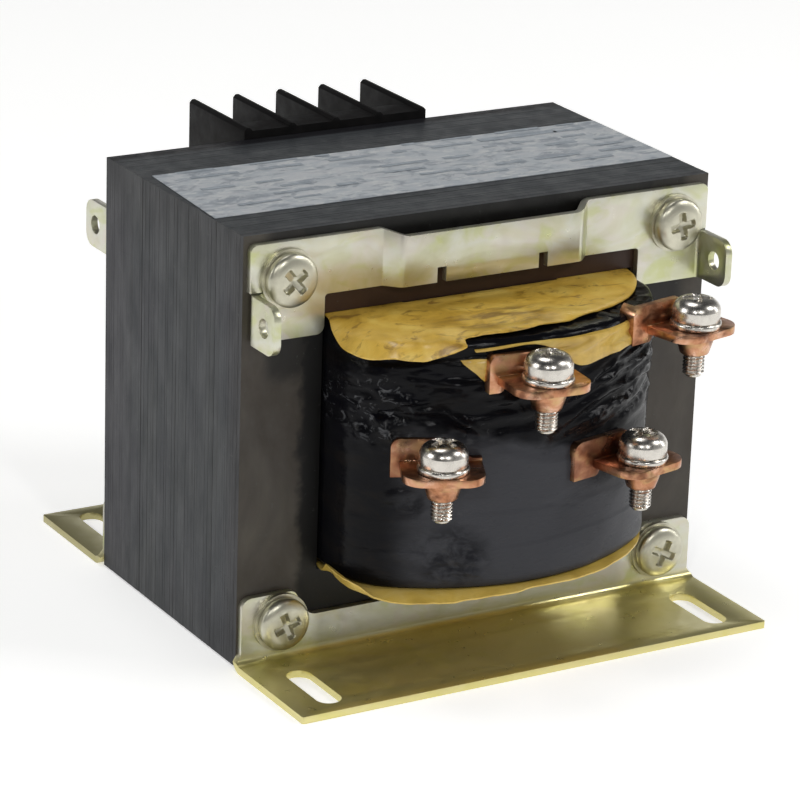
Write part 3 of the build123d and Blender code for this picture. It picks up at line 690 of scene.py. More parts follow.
def coil_outline(d, n_front, n_side, n_rear):
    """Plan points of the tape's outline grown by d, counter-clockwise from the front middle, with normals and
    a running length measured on the front (0 in the middle of the front, positive to the right)."""
    hx = HX + d

    def end(a, r, rc):
        a, r, rc = a + d, r + d, rc + d
        yc = a - r
        yk = yc + math.sqrt((r - rc) ** 2 - (hx - rc) ** 2)
        th = math.atan2(hx - rc, yk - yc)     # half angle of the bow
        return yc, r, rc, yk, th
    fyc, fr, frc, fyk, fth = end(FA, FR, FRC)
    ryc, rr, rrc, ryk, rth = end(RA, RR, RRC)
    P, N = [], []

    def arc(cx, cy, r, a0, a1, n):
        for q in range(n):
            a = a0 + (a1 - a0) * q / n
            P.append((cx + r * math.sin(a), cy - r * math.cos(a)))
            N.append((math.sin(a), -math.cos(a)))
    L1, L2 = fr * fth, frc * (math.pi / 2 - fth)
    n1 = max(3, round(n_front * L1 / (L1 + L2)))
    n2 = max(3, n_front - n1)
    arc(0, -fyc, fr, 0, fth, n1)
    arc(hx - frc, -fyk, frc, fth, math.pi / 2, n2)
    for q in range(n_side):
        P.append((hx, -fyk + (fyk + ryk) * q / n_side))
        N.append((1, 0))
    arc(hx - rrc, ryk, rrc, math.pi / 2, math.pi - rth, max(3, n_rear // 4))
    arc(0, ryc, rr, math.pi - rth, math.pi + rth, n_rear)
    arc(-(hx - rrc), ryk, rrc, math.pi + rth, 1.5 * math.pi, max(3, n_rear // 4))
    for q in range(n_side):
        P.append((-hx, ryk - (fyk + ryk) * q / n_side))
        N.append((-1, 0))
    arc(-(hx - frc), -fyk, frc, 1.5 * math.pi, 2 * math.pi - fth, n2)
    arc(0, -fyc, fr, 2 * math.pi - fth, 2 * math.pi, n1)
    return np.array(P), np.array(N)


def seg_dist(x, z, pts):
    """Distance to a polyline and the signed side, in surface coordinates; also how far along (0..1)."""
    best = np.full(x.shape, 1e9)
    side = np.zeros(x.shape)
    along = np.zeros(x.shape)
    L = [math.dist(a, b) for a, b in zip(pts[:-1], pts[1:])]
    tot, run = sum(L), 0
    for (a, b), l in zip(zip(pts[:-1], pts[1:]), L):
        dx, dz = b[0] - a[0], b[1] - a[1]
        t = np.clip(((x - a[0]) * dx + (z - a[1]) * dz) / (l * l), 0, 1)
        ex, ez = x - (a[0] + dx * t), z - (a[1] + dz * t)
        d = np.hypot(ex, ez)
        s = np.sign(dx * ez - dz * ex)
        hit = d < best
        best = np.where(hit, d, best)
        side = np.where(hit, s, side)
        along = np.where(hit, (run + t * l) / tot, along)
        run += l
    return best, side, along


def ridge(x, z, pts, h, w, taper=0.25):
    d, s, a = seg_dist(x, z, pts)
    e = sstep(a, 0, taper) * sstep(1 - a, 0, taper)
    return h * np.exp(-(d / w) ** 2) * e


def lap(x, z, pts, h, w=0.35, taper=0.15, reach=14.0):
    """A tape edge: the surface drops by h across the line, rising back slowly on the high side."""
    d, s, a = seg_dist(x, z, pts)
    e = sstep(a, 0, taper) * sstep(1 - a, 0, taper)
    hi = np.clip(0.5 + 0.5 * s * d / w, 0, 1)
    return h * e * hi * np.exp(-np.where(s > 0, d / reach, 0))


def tape_relief(sx, z):
    """Outward offset in mm. sx is the distance along the outline from the front's middle, z the height."""
    h = 0.0
    # long soft undulations of the wound body
    h = h + 0.30 * fbm(sx / 22, z / 17, 0.3, 3)
    # horizontal laps of the tape
    for z0, ph in ((29.5, 0.4), (36.9, 1.9), (52.5, 3.3), (63.0, 5.0), (70.2, 2.2)):
        line = z0 + 0.5 * np.sin(sx / 13 + ph) + 0.015 * sx + 0.35 * fbm(sx / 9, ph, 1.0, 2)
        h = h + 0.16 * sstep(line - z, -0.25, 0.25) * np.exp(-np.clip(line - z, 0, None) / 6.0)
    return h


def front_relief(x, z):
    """Folds, wrinkles and bulges of the front. x and z as seen from the front."""
    h = 0.0
    # lower body stands out a little beyond the upper winding; its lip runs below terminals 1 and 2
    lip = [(-36, 55.5), (-24, 55.0), (-14.7, 54.2), (-10.4, 51.5), (-1.1, 48.6), (8.1, 46.8), (16, 42.5), (30, 40.5), (37, 40)]
    d, s, a = seg_dist(x, z, lip)
    below = np.where(s < 0, d, -d)
    h = h + 0.75 * sstep(below, -1.2, 1.6) * np.exp(-np.clip(below, 0, None) / 16)
    # folds running up to the right, between terminals 2, 3 and 4
    h = h + lap(x, z, [(7.0, 61.5), (13.5, 64.8), (24.0, 66.9), (36.5, 67.0)], 1.1, 0.45)
    h = h + ridge(x, z, [(10.0, 61.6), (20.0, 64.2), (33.0, 64.4)], 0.75, 0.8)
    h = h + lap(x, z, [(3.0, 54.0), (10.5, 58.0), (22.0, 60.0), (35.0, 59.4)], 1.0, 0.45)
    h = h - ridge(x, z, [(5.0, 58.5), (15.0, 61.6), (30.0, 61.8)], 0.55, 1.2)
    h = h + ridge(x, z, [(2.0, 51.5), (9.0, 54.4), (18.0, 56.6), (30.0, 56.6)], 0.8, 0.9)
    h = h + ridge(x, z, [(11.0, 69.5), (20.0, 70.2), (31.0, 69.4)], 0.4, 0.7)
    h = h - ridge(x, z, [(-2.0, 50.8), (8.0, 51.5), (24.0, 51.6)], 0.7, 1.8)
    h = h + lap(x, z, [(14.0, 44.5), (19.0, 42.5), (27.0, 41.5), (35.0, 41.8)], 0.6, 0.45)
    # fold above terminal 1
    h = h + ridge(x, z, [(-27.0, 60.5), (-20.8, 59.4), (-15.5, 56.0), (-12.0, 53.8)], 0.75, 0.8)
    h = h - ridge(x, z, [(-26.0, 58.2), (-20.0, 56.6), (-15.5, 53.6)], 0.45, 0.9)
    h = h + ridge(x, z, [(-24.0, 66.0), (-14.0, 64.5), (-7.0, 61.0), (-2.0, 57.5)], 0.5, 1.2)
    # loose wrinkles high on the left
    h = h + ridge(x, z, [(-37.2, 64.5), (-34.5, 64.6), (-31.5, 62.4)], 0.6, 0.55)
    h = h + ridge(x, z, [(-36.8, 61.0), (-34.0, 58.8), (-31.8, 55.2)], 0.55, 0.6)
    h = h + ridge(x, z, [(-33.5, 56.6), (-31.2, 54.2), (-27.5, 53.2)], 0.45, 0.55)
    h = h + ridge(x, z, [(-37.0, 57.5), (-35.2, 54.5), (-33.4, 50.5)], 0.35, 0.6)
    h = h + ridge(x, z, [(-30.5, 67.0), (-24.0, 65.6), (-17.0, 66.2)], 0.35, 0.8)
    # a small round lump under terminal 1's left edge
    d = np.hypot((x + 29.6) / 1.5, z - 41.2 - 0.25 * (x + 29.6))
    h = h + 0.7 * np.exp(-(d / 1.6) ** 4)
    h = h + ridge(x, z, [(-30.5, 38.6), (-28.4, 39.0), (-26.6, 40.6)], 0.5, 0.45)
    # creases low down
    h = h - ridge(x, z, [(-26.0, 33.8), (-22.5, 31.0), (-20.5, 26.8), (-17.5, 24.0)], 0.35, 0.7)
    h = h + ridge(x, z, [(-21.5, 30.5), (-18.0, 29.0), (-15.5, 25.4)], 0.35, 0.8)
    h = h + ridge(x, z, [(-19.5, 25.6), (-16.0, 24.0), (-12.0, 23.6)], 0.4, 0.7)
    h = h - ridge(x, z, [(-0.5, 37.8), (5.0, 37.0), (10.2, 36.1)], 0.22, 0.5)
    # crumpled tape high on the left and low down beside the lead-out
    loose = np.exp(-((x + 30.5) / 6.5) ** 2 - ((z - 58.5) / 8.5) ** 2) + 0.9 * np.exp(-((x + 18.5) / 5.5) ** 2 - ((z - 27) / 5) ** 2)
    h = h + 0.62 * loose * fbm(x / 3.4, z / 2.6, 7.7, 4)
    r1 = 1 - np.abs(fbm(x / 6.5 + 0.35 * z / 5, z / 4.6, 2.2, 3))
    h = h + 0.7 * np.clip(loose, 0, 1) * (np.clip(r1, 0, 1) ** 3)
    # long drawn folds over the rest of the upper half, rising to the right
    tilt = 0.10 + 0.16 * sstep(x, -6, 14)
    u, w = x + 0.25 * z, z - tilt * (x + 6)
    up = sstep(z, 49, 55) * sstep(75.2 - z, 0, 3)
    h = h + 0.42 * up * fbm(u / 11.0, w / 2.1, 4.4, 3)
    r2_ = 1 - np.abs(fbm(u / 15.0, w / 3.4, 6.1, 2))
    h = h + 0.55 * up * (np.clip(r2_, 0, 1) ** 4) * (0.35 + 0.65 * sstep(x, -12, 4))
    # the edge of a lap that follows the shoulder under the sheet
    h = h + lap(x, z, [(-17.0, 71.6), (-8.0, 72.6), (2.0, 73.0), (14.0, 73.4), (24.0, 74.0)], 0.5, 0.3)
    return h


def build_tape():
    nz = 122
    zlo, zhi = 20.35, 75.4
    P, N = coil_outline(0.0, 118, 16, 70)
    Pi, _ = coil_outline(-WT, 118, 16, 70)
    n = len(P)
    # running length along the outline from the front's middle
    seg = np.hypot(*(np.roll(P, -1, 0) - P).T)
    run = np.concatenate([[0], np.cumsum(seg)[:-1]])
    total = seg.sum()
    sx = np.where(run > total / 2, run - total, run)
    # even rows, closer together at the shoulders
    t = np.linspace(0, 1, nz)
    zz = zlo + (zhi - zlo) * (t - 0.35 * np.sin(2 * math.pi * t) / (2 * math.pi))
    verts = np.zeros((nz, n, 3))
    for j, z in enumerate(zz):
        x, y = P[:, 0], P[:, 1]
        relief = tape_relief(sx, np.full(n, z))
        w = sstep(-y, 33.0, 37.0)
        fr = front_relief(x, np.full(n, z))
        off = relief * (0.25 + 0.75 * np.maximum(w, sstep(y, 33, 37) * 0.8)) + fr * w
        side = (np.abs(y) < 33)
        off = np.where(side, np.clip(off, -1, 0.25), off)
        # rounded shoulders
        rs = 2.4
        k = 0.0
        if z > zhi - rs:
            k = rs - math.sqrt(max(0.0, rs * rs - (z - (zhi - rs)) ** 2))
        if z < zlo + rs:
            k = rs - math.sqrt(max(0.0, rs * rs - ((zlo + rs) - z) ** 2))
        off = off - k * 0.5 - 0.05
        off = np.maximum(off, -1.1)
        rearcap = np.where(y > 33, 0.35, 9.0)
        off = np.minimum(off, rearcap)
        verts[j, :, 0] = x + N[:, 0] * off
        verts[j, :, 1] = y + N[:, 1] * off
        verts[j, :, 2] = z
    V = [verts.reshape(-1, 3)]
    F = []
    for j in range(nz - 1):
        for i in range(n):
            i2 = (i + 1) % n
            F.append([j * n + i, j * n + i2, (j + 1) * n + i2, (j + 1) * n + i])
    base = nz * n
    # the top edge is folded in over the winding at the front, wrinkled as it goes round
    fold = 6.5 * sstep(-P[:, 1], 34.0, 42.0)
    rings = [np.column_stack([Pi, np.full(n, zlo)])]
    for a_, dz in ((0.12, 0.08), (0.3, 0.0), (0.55, 0.02), (0.8, -0.1), (1.0, -0.25), (1.0, -0.9), (0.6, -0.95), (0.0, -1.1)):
        q = P + (Pi - P) * (1 + (fold * a_ / WT))[:, None] if a_ else Pi
        rel = 0.28 * fbm(sx / 2.6, a_ * 2.0, 5.5, 3) * sstep(-P[:, 1], 36, 42) * (1 if dz > -0.5 else 0.5)
        rings.append(np.column_stack([q, np.minimum(zhi + dz - 0.12 + rel, 75.55)]))
    V += rings
    for i in range(n):
        i2 = (i + 1) % n
        F.append([base + i, base + i2, i2, i])                                   # bottom
        prev = (nz - 1) * n
        for r_ in range(1, len(rings)):
            nx_ = base + r_ * n
            F.append([prev + i, prev + i2, nx_ + i2, nx_ + i])
            prev = nx_
        F.append([prev + i, prev + i2, base + i2, base + i])                     # inside
    return np.vstack(V), F


v, f = build_tape()
tape = link("coil_tape", v, f, "root_frame", ["coil_wrap"], 60)
give(tape, M["tape"])

# --------------------------------------------------------------------------
# end insulation: thin curved collars round the centre leg
# --------------------------------------------------------------------------
def smooth_curve(pts, n):
    """Catmull-Rom through pts, n samples evenly along it."""
    P = np.array(pts, float)
    Q = np.vstack([2 * P[0] - P[1], P, 2 * P[-1] - P[-2]])
    out = []
    for i in range(1, len(Q) - 2):
        t = np.linspace(0, 1, 24, endpoint=False)[:, None]
        p0, p1, p2, p3 = Q[i - 1], Q[i], Q[i + 1], Q[i + 2]
        out.append(0.5 * (2 * p1 + (p2 - p0) * t + (2 * p0 - 5 * p1 + 4 * p2 - p3) * t ** 2 + (3 * p1 - p0 - 3 * p2 + p3) * t ** 3))
    out = np.vstack(out + [P[-1:]])
    d = np.concatenate([[0], np.cumsum(np.hypot(*(out[1:] - out[:-1]).T))])
    s_ = np.linspace(0, d[-1], n)
    return np.column_stack([np.interp(s_, d, out[:, 0]), np.interp(s_, d, out[:, 1])])


def collar(front_pts, rear_d, zmid, thick, zfun, n_front=260, rows=26):
    """Closed sheet from the centre leg out to an outline: front_pts run from the left window edge round the front
    to the right one; the rest follows the tape at the rear."""
    fr = smooth_curve(front_pts, n_front)
    side_r = np.column_stack([np.full(16, fr[-1, 0]), np.linspace(fr[-1, 1], 33, 17)[1:]])
    P, _ = coil_outline(0.0, 118, 16, 70)
    rear = P[(P[:, 1] > 33.5)] * np.array([37.5 / 37.6, 1.0])
    rear = rear + np.column_stack([np.zeros(len(rear)), np.full(len(rear), rear_d) * sstep(rear[:, 1], 36, 46)])
    side_l = np.column_stack([np.full(16, fr[0, 0]), np.linspace(33, fr[0, 1], 17)[:-1]])
    outer = np.vstack([fr, side_r, rear, side_l])
    # inner outline: the nearest point of a slightly rounded rectangle round the leg
    hx, hy, r = 19.45, 32.15, 0.8
    cx = np.clip(outer[:, 0], -(hx - r), hx - r)
    cy = np.clip(outer[:, 1], -(hy - r), hy - r)
    dx, dy = outer[:, 0] - cx, outer[:, 1] - cy
    L = np.hypot(dx, dy)
    inner = np.column_stack([cx + r * dx / L, cy + r * dy / L])
    # points that fall on the same inner place are kept apart along the rounded corner
    n = len(outer)
    V, F = [], []
    t = np.linspace(0, 1, rows) ** 0.8
    for side in (1, -1):
        for k in range(rows):
            q = inner + (outer - inner) * t[k]
            edge = (1 - t[k]) * np.hypot(*(outer - inner).T)      # distance in from the rim
            soft = np.where(edge < 0.35, np.sqrt(np.clip(1 - ((0.35 - edge) / 0.35) ** 2, 0.05, 1)), 1.0)
            z = zmid + zfun(q[:, 0], q[:, 1], edge) + side * thick / 2 * (0.25 + 0.75 * soft)
            V.append(np.column_stack([q, z]))
    V = np.vstack(V)
    off = rows * n
    for k in range(rows - 1):
        for i in range(n):
            i2 = (i + 1) % n
            F.append([k * n + i, k * n + i2, (k + 1) * n + i2, (k + 1) * n + i][::-1])
            F.append([off + k * n + i, off + k * n + i2, off + (k + 1) * n + i2, off + (k + 1) * n + i])
    for i in range(n):
        i2 = (i + 1) % n
        a = (rows - 1) * n
        F.append([a + i, a + i2, off + a + i2, off + a + i][::-1])
        F.append([i, i2, off + i2, off + i])
    return V, F


def flip(F):
    return [list(reversed(q)) for q in F]


top_front = [(-37.5, -31.0), (-38.0, -33.8), (-39.3, -38.0), (-39.8, -43.0), (-39.4, -48.0), (-37.6, -52.4), (-34.6, -55.8),
             (-30.6, -58.2), (-26.0, -59.6), (-22.2, -60.2), (-20.2, -59.9), (-19.4, -58.2), (-18.4, -56.4), (-15.5, -56.2),
             (-11.2, -57.2), (-6.0, -57.6), (-0.3, -56.8), (6.0, -55.4), (13.8, -53.0), (19.0, -51.2), (24.7, -48.6),
             (29.2, -45.6), (33.0, -41.6), (36.0, -37.0), (37.5, -31.0)]


def top_z(x, y, edge):
    front = sstep(-y, 34, 58)
    z = -0.35 * sstep(x, 0, 30) * sstep(-y, 33, 40)
    # the left lobe bends down over the coil's shoulder
    z = z - 2.3 * sstep(-x, 17, 30) * sstep(3.6 - edge, 0, 3.6) * sstep(-y, 36, 44)
    z = z - 1.2 * sstep(-x, 33, 40) * sstep(-y, 34, 38)
    # buckled a little where the varnish pulled it
    z = z + front * 0.55 * fbm(x / 9.0, y / 8.0, 3.3, 3)
    z = z + front * 0.5 * np.exp(-((x + 3) / 9) ** 2) * sstep(5 - edge, 0, 5)
    # inside the windows it lies flat under the yoke
    return z * sstep(-y, 32.5, 36.0)


v, f = collar(top_front, 0.8, 76.15, 0.7, top_z)
topins = link("top_insulation_sheet", v, f, "root_frame", ["top_end_insulation"], 40)
give(topins, M["yellow"])

bot_front = [(-37.5, -31.0), (-38.4, -36.0), (-39.4, -41.0), (-39.0, -46.6), (-36.2, -51.6), (-31.2, -55.6), (-24.5, -58.6),
             (-15.3, -60.7), (-5.0, -61.6), (4.0, -61.5), (12.5, -60.0), (21.0, -56.8), (28.6, -52.2), (34.0, -46.8),
             (37.2, -41.0), (37.9, -35.5), (37.5, -31.0)]


def bot_z(x, y, edge):
    z = -0.5 * sstep(-x, 6, 26) * sstep(2.8 - edge, 0, 2.8) * sstep(x, -37, -30)
    z = z + 2.6 * sstep(-x, 35.0, 39.2) * sstep(2.8 - edge, 0, 2.5)
    z = z + 0.3 * fbm(x / 6.0, y / 6.0, 8.1, 3) * sstep(4.0 - edge, 0, 4.0)
    return z * sstep(-y, 33.0, 37.0)


v, f = collar(bot_front, 0.8, 19.9, 0.75, bot_z)
botins = link("bottom_insulation_sheet", v, f, "root_frame", ["bottom_end_insulation"], 40)
give(botins, M["rim"])


# small strips of the same sheet that show between the tape's laps
def on_tape(x, z, off):
    """Point on the front of the tape at x and z, off outward."""
    x = np.asarray(x, float)
    z = np.asarray(z, float)
    th = np.arcsin(np.clip(x / 52.0, -0.999, 0.999))
    nx, ny = np.sin(th), -np.cos(th)
    # a sheet bridges the small steps under it
    rel = np.max([tape_relief(52.0 * th, z + dz) + front_relief(x, z + dz) for dz in (-0.6, -0.4, -0.2, 0.0, 0.2, 0.4, 0.6)], axis=0)
    rs = 2.4
    k = rs - np.sqrt(np.clip(rs * rs - np.clip(z - (75.4 - rs), 0, rs) ** 2, 0, None))
    r = 52.0 + np.maximum(rel - 0.5 * k - 0.05, -1.1) + off
    return np.column_stack([nx * r, -7.5 + ny * r, z])


def strip(name, top, bottom, tuck, thick, lift, mat):
    """A thin sheet lying on the tape between two edges, given left to right as (x, z), its upper edge tucked in."""
    n, rows = 60, 18
    T, B = smooth_curve(top, n), smooth_curve(bottom, n)
    layers = []
    for side in (lift + thick, lift):
        for k in range(rows):
            t = k / (rows - 1)
            q = B + (T - B) * t
            layers.append(on_tape(q[:, 0], q[:, 1], side - 0.25 * thick * (1 if side > lift else -1) * (1 - min(1.0, 6 * t))))
        if tuck:
            for k in range(1, 5):
                q = on_tape(T[:, 0], T[:, 1], side)
                c = np.array([0, -7.5, 0])
                inward = (c - q) * np.array([1, 1, 0])
                inward /= np.hypot(inward[:, 0], inward[:, 1])[:, None]
                a = k / 4
                q = q + inward * tuck * a
                q[:, 2] += 0.25 * math.sin(a * 1.5) + (0.15 if side > lift else -0.05)
                layers.append(q)
    m_ = len(layers) // 2
    V = np.vstack(layers)
    F = []
    for k in range(m_ - 1):
        for i in range(n - 1):
            a, b = k * n + i, (k + 1) * n + i
            F.append([a, a + 1, b + 1, b])
            a2, b2 = a + m_ * n, b + m_ * n
            F.append([a2, b2, b2 + 1, a2 + 1])
    o = m_ * n
    for i in range(n - 1):
        F.append([i, o + i, o + i + 1, i + 1])
        e = (m_ - 1) * n
        F.append([e + i, e + i + 1, o + e + i + 1, o + e + i])
    for k in range(m_ - 1):
        F.append([k * n, (k + 1) * n, o + (k + 1) * n, o + k * n])
        e = n - 1
        F.append([k * n + e, o + k * n + e, o + (k + 1) * n + e, (k + 1) * n + e])
    ob = link(name, V, F, "root_frame", (), 50)
    give(ob, mat)
    return ob


strip("inner_sheet_right", [(-16.5, 73.25), (-10.5, 73.9), (-4.5, 74.2), (2, 74.15), (10, 74.1), (18, 74.1), (25.0, 74.1)],
      [(-16.2, 72.85), (-10.2, 73.6), (-4.2, 74.0), (-0.8, 73.0), (1.6, 71.6), (5.6, 68.4), (8.5, 67.6), (13.0, 68.0), (18.5, 69.0),
       (23.5, 70.0)], 3.2, 0.35, 0.14, M["yellow2"])
strip("inner_sheet_left", [(-19.2, 71.3), (-15.0, 71.5), (-8.0, 71.0)], [(-18.6, 70.5), (-16.4, 68.6), (-13.6, 66.3), (-8.4, 66.0)],
      0, 0.25, 0.12, M["yellow2"])


# --------------------------------------------------------------------------
# screws
# --------------------------------------------------------------------------
def screw(head_r, head_h, under, r_major, r_minor, length, pitch, rec_l, rec_w, rec_d, turned, dome=0.62, power=2.6, seg=120,
          plain=0.0):
    """Domed cross-recess head standing on z = under, thread below down to z = under - length, after a plain part."""
    V, rows = [], []

    def ring(r, z, n=seg):
        rows.append(list(range(len(V), len(V) + n)))
        for k in range(n):
            a = 2 * math.pi * k / n
            V.append((r[k] * math.cos(a), r[k] * math.sin(a), z[k]) if hasattr(r, "__len__") else
                     (r * math.cos(a), r * math.sin(a), z[k] if hasattr(z, "__len__") else z))

    def top(r):
        q = r / head_r
        return head_h * (1 - dome * (1 - math.sqrt(max(0.0, 1 - (q * 0.985) ** power))))

    ca, sa = math.cos(math.radians(turned)), math.sin(math.radians(turned))

    def recess(x, y):
        u, w = abs(x * ca + y * sa), abs(-x * sa + y * ca)
        def arm(a, b):
            e = sstep(np.array(rec_w / 2 + 0.12 - b), 0, 0.24) * sstep(np.array(rec_l - a), 0, 0.55)
            return float(e)
        m_ = max(arm(u, w), arm(w, u))
        rr = math.hypot(x, y)
        return rec_d * m_ * (1 - 0.45 * min(1.0, rr / rec_l))
    V.append((0, 0, under + top(0) - recess(0, 0)))
    rows.append([0])
    n_rad = 36
    for i in range(1, n_rad + 1):
        q = (i / n_rad)
        r = head_r * (q if q < 0.75 else 0.75 + 0.25 * math.sin((q - 0.75) / 0.25 * math.pi / 2))
        zz = []
        for k in range(seg):
            a = 2 * math.pi * k / seg
            zz.append(under + top(r) - recess(r * math.cos(a), r * math.sin(a)))
        ring(r, zz)
    ring(head_r, under + 0.28)
    ring(head_r * 0.985, under + 0.06)
    ring(head_r * 0.95, under)
    ring(r_minor + 0.25, under)
    # thread
    n_rows = int((length - plain) / pitch * 8)
    if plain:
        ring(r_major, under - 0.05)
    for j in range(n_rows + 1):
        z = under - plain - (length - plain) * j / n_rows
        rr = []
        for k in range(seg):
            ph = (z / pitch - k / seg) % 1.0
            tri = 1 - abs(2 * ph - 1)
            rad = r_minor + (r_major - r_minor) * min(1.0, max(0.0, (tri - 0.12) / 0.76))
            d_top, d_end = under - z, z - (under - length)
            if not plain:
                rad = r_minor + (rad - r_minor) * min(1.0, d_top / 0.8)
            rad = r_minor + (rad - r_minor) * min(1.0, d_end / 0.8)
            rad -= 0.35 * max(0.0, 1 - d_end / 0.7)
            rr.append(rad)
        ring(rr, [z] * seg)
    V.append((0, 0, under - length))
    rows.append([len(V) - 1])
    F = []
    for A, B in zip(rows[:-1], rows[1:]):
        for k in range(seg):
            k2 = (k + 1) % seg
            if len(A) == 1:
                F.append([A[0], B[k], B[k2]])
            elif len(B) == 1:
                F.append([A[k], B[0], A[k2]])
            else:
                F.append([A[k], B[k], B[k2], A[k2]])
    return np.array(V), F


rec_joints = {j["name"]: j for j in frame["record"]["behaviour"]["joints"]}
turns = {1: 12, 2: 38, 3: 25, 4: 60}
for i in range(1, 5):
    j = rec_joints[f"screw_{i}_turn"]
    p = np.array(j.get("pos_m") or j.get("pos")) / MM
    v, f = screw(5.14, 4.88, 1.52, 2.35, 2.0, 12.5, 0.794, 3.1, 1.5, 2.3, turns[i], 0.66, 3.6, 96)
    ob = link(f"terminal_screw_{i}_threaded", place(v, p), f, f"screw_{i}", [f"terminal_screw_{i}"], 38)
    give(ob, M["nickel"])
    # cup washer, flat with a rounded rim
    prof = [(2.75, 0.0), (5.1, 0.0), (5.38, 0.12), (5.48, 0.4), (5.48, 0.95), (5.36, 1.28), (5.05, 1.46), (4.5, 1.5), (2.75, 1.5)]
    v, f = lathe(prof, 96, p, closed=True)
    ob = link(f"cup_washer_{i}", v, flip(f), f"clamp_{i}", [f"clamp_washer_{i}"], 40)
    give(ob, M["nickel"])
for i in range(1, 5):
    j = rec_joints[f"rscrew_{i}_turn"]
    p = np.array(j.get("pos_m") or j.get("pos")) / MM
    v, f = screw(3.4, 2.2, 0.0, 1.70, 1.42, 6.1, 0.794, 2.0, 1.0, 1.2, 15 + 31 * i, seg=64)
    ob = link(f"rear_screw_{i}_threaded", place(v, p), f, f"rscrew_{i}", [f"rear_screw_{i}"], 38)
    give(ob, M["nickel"])

# corner screws: heads to the front, threads out through the nuts behind
parts = []
for sx, z, tn in ((-1, 9.925, 20), (-1, 86.125, 40), (1, 9.925, 65), (1, 86.125, 10)):
    v, f = screw(5.75, 2.9, 0.0, 2.36, 2.02, 74.35, 1.058, 3.2, 1.5, 1.7, tn, 0.6, 3.0, 72, 65.0)
    # lay it along Y: +Z of the screw to -Y
    v = np.column_stack([v[:, 0] + sx * 47.625, -34.35 - v[:, 2], v[:, 1] + z])
    parts.append((v, f))
v, f = join_parts(parts)
cs = link("core_screws_threaded", v, f, "root_frame", ["core_screws"], 38)
give(cs, M["zinc"])

# --------------------------------------------------------------------------
# label: thin printed fields on the foil band
# --------------------------------------------------------------------------
parts = []
zl = 95.83
fc = np.array([(-54.7, 14.7), (-56.7, -18.3), (57.0, -17.9), (57.0, 14.2)])
nu, nv = 120, 36
V, F = [], []
for side in (1, 0):
    for j in range(nv + 1):
        for i_ in range(nu + 1):
            a, b = i_ / nu, j / nv
            q = (fc[1] * (1 - a) + fc[2] * a) * (1 - b) + (fc[0] * (1 - a) + fc[3] * a) * b
            edge = min(a * 110, (1 - a) * 110, b * 34, (1 - b) * 34)
            wav = 0.05 * float(fbm(q[0] / 9.0, q[1] / 7.0, 1.5, 3)) * min(1.0, edge)
            V.append((q[0], q[1], zl - 0.06 + wav * 0.6 if side else 95.655))
m_ = (nu + 1) * (nv + 1)
for j in range(nv):
    for i_ in range(nu):
        a = j * (nu + 1) + i_
        F.append([a, a + 1, a + nu + 2, a + nu + 1])
        F.append([a + m_, a + m_ + nu + 1, a + m_ + nu + 2, a + m_ + 1])
rim_ = [i_ for i_ in range(nu + 1)] + [j * (nu + 1) + nu for j in range(1, nv + 1)] \
    + [nv * (nu + 1) + i_ for i_ in range(nu - 1, -1, -1)] + [j * (nu + 1) for j in range(nv - 1, 0, -1)]
for a, b in zip(rim_, rim_[1:] + rim_[:1]):
    F.append([a, a + m_, b + m_, b])
foil = link("nameplate_foil_sheet", V, F, "root_frame", ["nameplate"], 40)
give(foil, M["label"])


def bar(x0, x1, y0, y1, h=0.018):
    pts = [(x0, y0), (x1, y0), (x1, y1), (x0, y1)]
    vv, ff = extrude2d(pts, [[0, 1, 2, 3]], zl, zl + h)
    parts.append((vv, ff))


lr = np.random.default_rng(5)
for row, y in enumerate(np.arange(-12.6, 15.0, 4.3)):
    x = -52.0 + lr.random() * 5
    while x < 50:
        w = 3 + lr.random() * 9
        if lr.random() < 0.55:
            bar(x, min(53.5, x + w), y, y + 1.0 + 0.5 * lr.random())
        x += w + 2.5 + lr.random() * 8
bar(24, 44, 9.0, 11.2)
v, f = join_parts(parts)
lab = link("label_print_fields", v, f, "root_frame", (), None)
give(lab, M["print"])

# --------------------------------------------------------------------------
# stage: pale floor and sweep, studio light
# --------------------------------------------------------------------------
def stage_mesh():
    prof = [(-3.0, 0.0), (1.6, 0.0)]
    for k in range(1, 13):
        a = math.pi / 2 * k / 12
        prof.append((1.6 + 0.5 * math.sin(a), 0.5 - 0.5 * math.cos(a)))
    prof.append((2.1, 0.55))
    # the sweep runs away from the camera
    d = Vector((-back.x, -back.y, 0)).normalized()
    s = Vector((-d.y, d.x, 0))
    v, f = [], []
    for (u, z) in prof:
        for w in (-3.5, 3.5):
            q = d * u + s * w
            v.append((q.x / MM, q.y / MM, z / MM))
    for k in range(len(prof) - 1):
        a = 2 * k
        f.append([a, a + 2, a + 3, a + 1])
    return v, f


v, f = stage_mesh()
me = bpy.data.meshes.new("floor")
me.from_pydata((np.array(v) * MM).tolist(), [], f)
me.update()
me.shade_smooth()
floor = bpy.data.objects.new("floor", me)
bpy.context.scene.collection.objects.link(floor)
km = Mat("pale_floor", rough=0.9, spec=0.1)
km.link(km.ramp(km.noise(km.space((0.01, 0.01, 0.01)), 1.0, 2, 0.5), [(0.0, (0.86, 0.86, 0.85)), (1.0, (0.88, 0.88, 0.87))]), "base")
km.bsdf.inputs["Emission Color"].default_value = (1, 1, 0.99, 1)
km.bsdf.inputs["Emission Strength"].default_value = 0.5
floor.data.materials.append(km.mat)

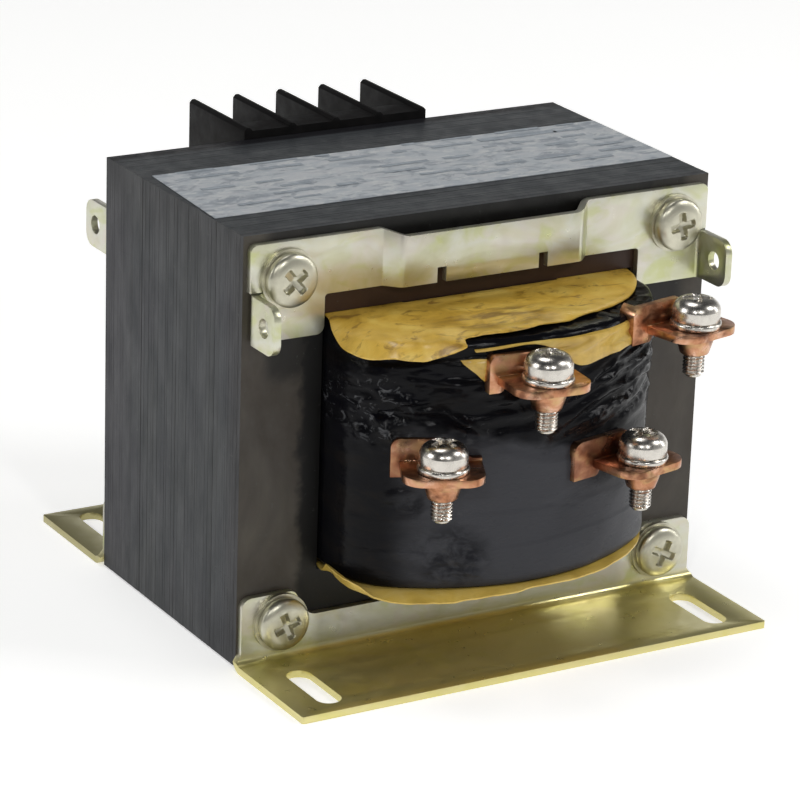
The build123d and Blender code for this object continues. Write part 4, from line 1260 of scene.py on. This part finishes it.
# soft room: bright low down, darker overhead and a little darker to the left front
world = bpy.data.worlds.new("studio")
bpy.context.scene.world = world
world.use_nodes = True
wn, wl = world.node_tree.nodes, world.node_tree.links
bg = wn["Background"]
tc = wn.new("ShaderNodeTexCoord")
sp = wn.new("ShaderNodeSeparateXYZ")
wl.new(tc.outputs["Generated"], sp.inputs[0])
wr = wn.new("ShaderNodeValToRGB")
wl.new(sp.outputs[2], wr.inputs[0])
els = wr.color_ramp.elements
els[0].position, els[0].color = 0.0, (1.0, 1.0, 1.0, 1)
els[1].position, els[1].color = 1.0, (0.07, 0.07, 0.08, 1)
for pos, c in ((0.16, 0.9), (0.42, 0.34), (0.7, 0.12)):
    e = els.new(pos)
    e.color = (c, c, c * 1.01, 1)
# the side of the room that the front left faces is dim
dot = wn.new("ShaderNodeVectorMath")
dot.operation = "DOT_PRODUCT"
wl.new(tc.outputs["Generated"], dot.inputs[0])
dot.inputs[1].default_value = (-0.55, -0.80, 0.24)
dim = wn.new("ShaderNodeMapRange")
dim.interpolation_type = "SMOOTHSTEP"
wl.new(dot.outputs["Value"], dim.inputs[0])
for i_, x_ in enumerate((0.45, 0.92, 1.0, 0.12), 1):
    dim.inputs[i_].default_value = x_
mul = wn.new("ShaderNodeMix")
mul.data_type = "RGBA"
mul.blend_type = "MULTIPLY"
mul.inputs[0].default_value = 1.0
wl.new(wr.outputs[0], mul.inputs[6])
wl.new(dim.outputs[0], mul.inputs[7])
wl.new(mul.outputs[2], bg.inputs[0])
bg.inputs[1].default_value = 0.42


def area(name, loc, target, size, power, size_y=None, color=(1, 1, 1)):
    ld = bpy.data.lights.new(name, "AREA")
    ld.energy = power
    ld.color = color
    ld.size = size
    if size_y:
        ld.shape = "RECTANGLE"
        ld.size_y = size_y
    ob = bpy.data.objects.new(name, ld)
    bpy.context.scene.collection.objects.link(ob)
    ob.location = loc
    ob.rotation_euler = (Vector(target) - Vector(loc)).to_track_quat("-Z", "Y").to_euler()
    return ob


area("key", (0.85, -0.65, 0.95), (0, 0, 0.05), 0.34, 5.0)
area("fill", (-1.2, 0.15, 0.6), (0, 0, 0.05), 0.5, 3.2)
area("top", (-0.1, 0.3, 1.5), (0, 0, 0), 0.5, 5.5)
area("front", (-0.2, -1.3, 0.8), (0, 0, 0.05), 0.09, 2.6)
area("front_low", (-0.75, -0.95, 0.72), (0, 0, 0.05), 0.06, 1.6)
area("right", (1.25, -0.35, 0.42), (0, 0, 0.05), 0.18, 2.4, 0.6)

bpy.context.scene.view_settings.view_transform = "Standard"
bpy.context.scene.view_settings.look = "None"
bpy.context.scene.view_settings.exposure = 0.0
bpy.context.scene.view_settings.gamma = 1.0

# --------------------------------------------------------------------------
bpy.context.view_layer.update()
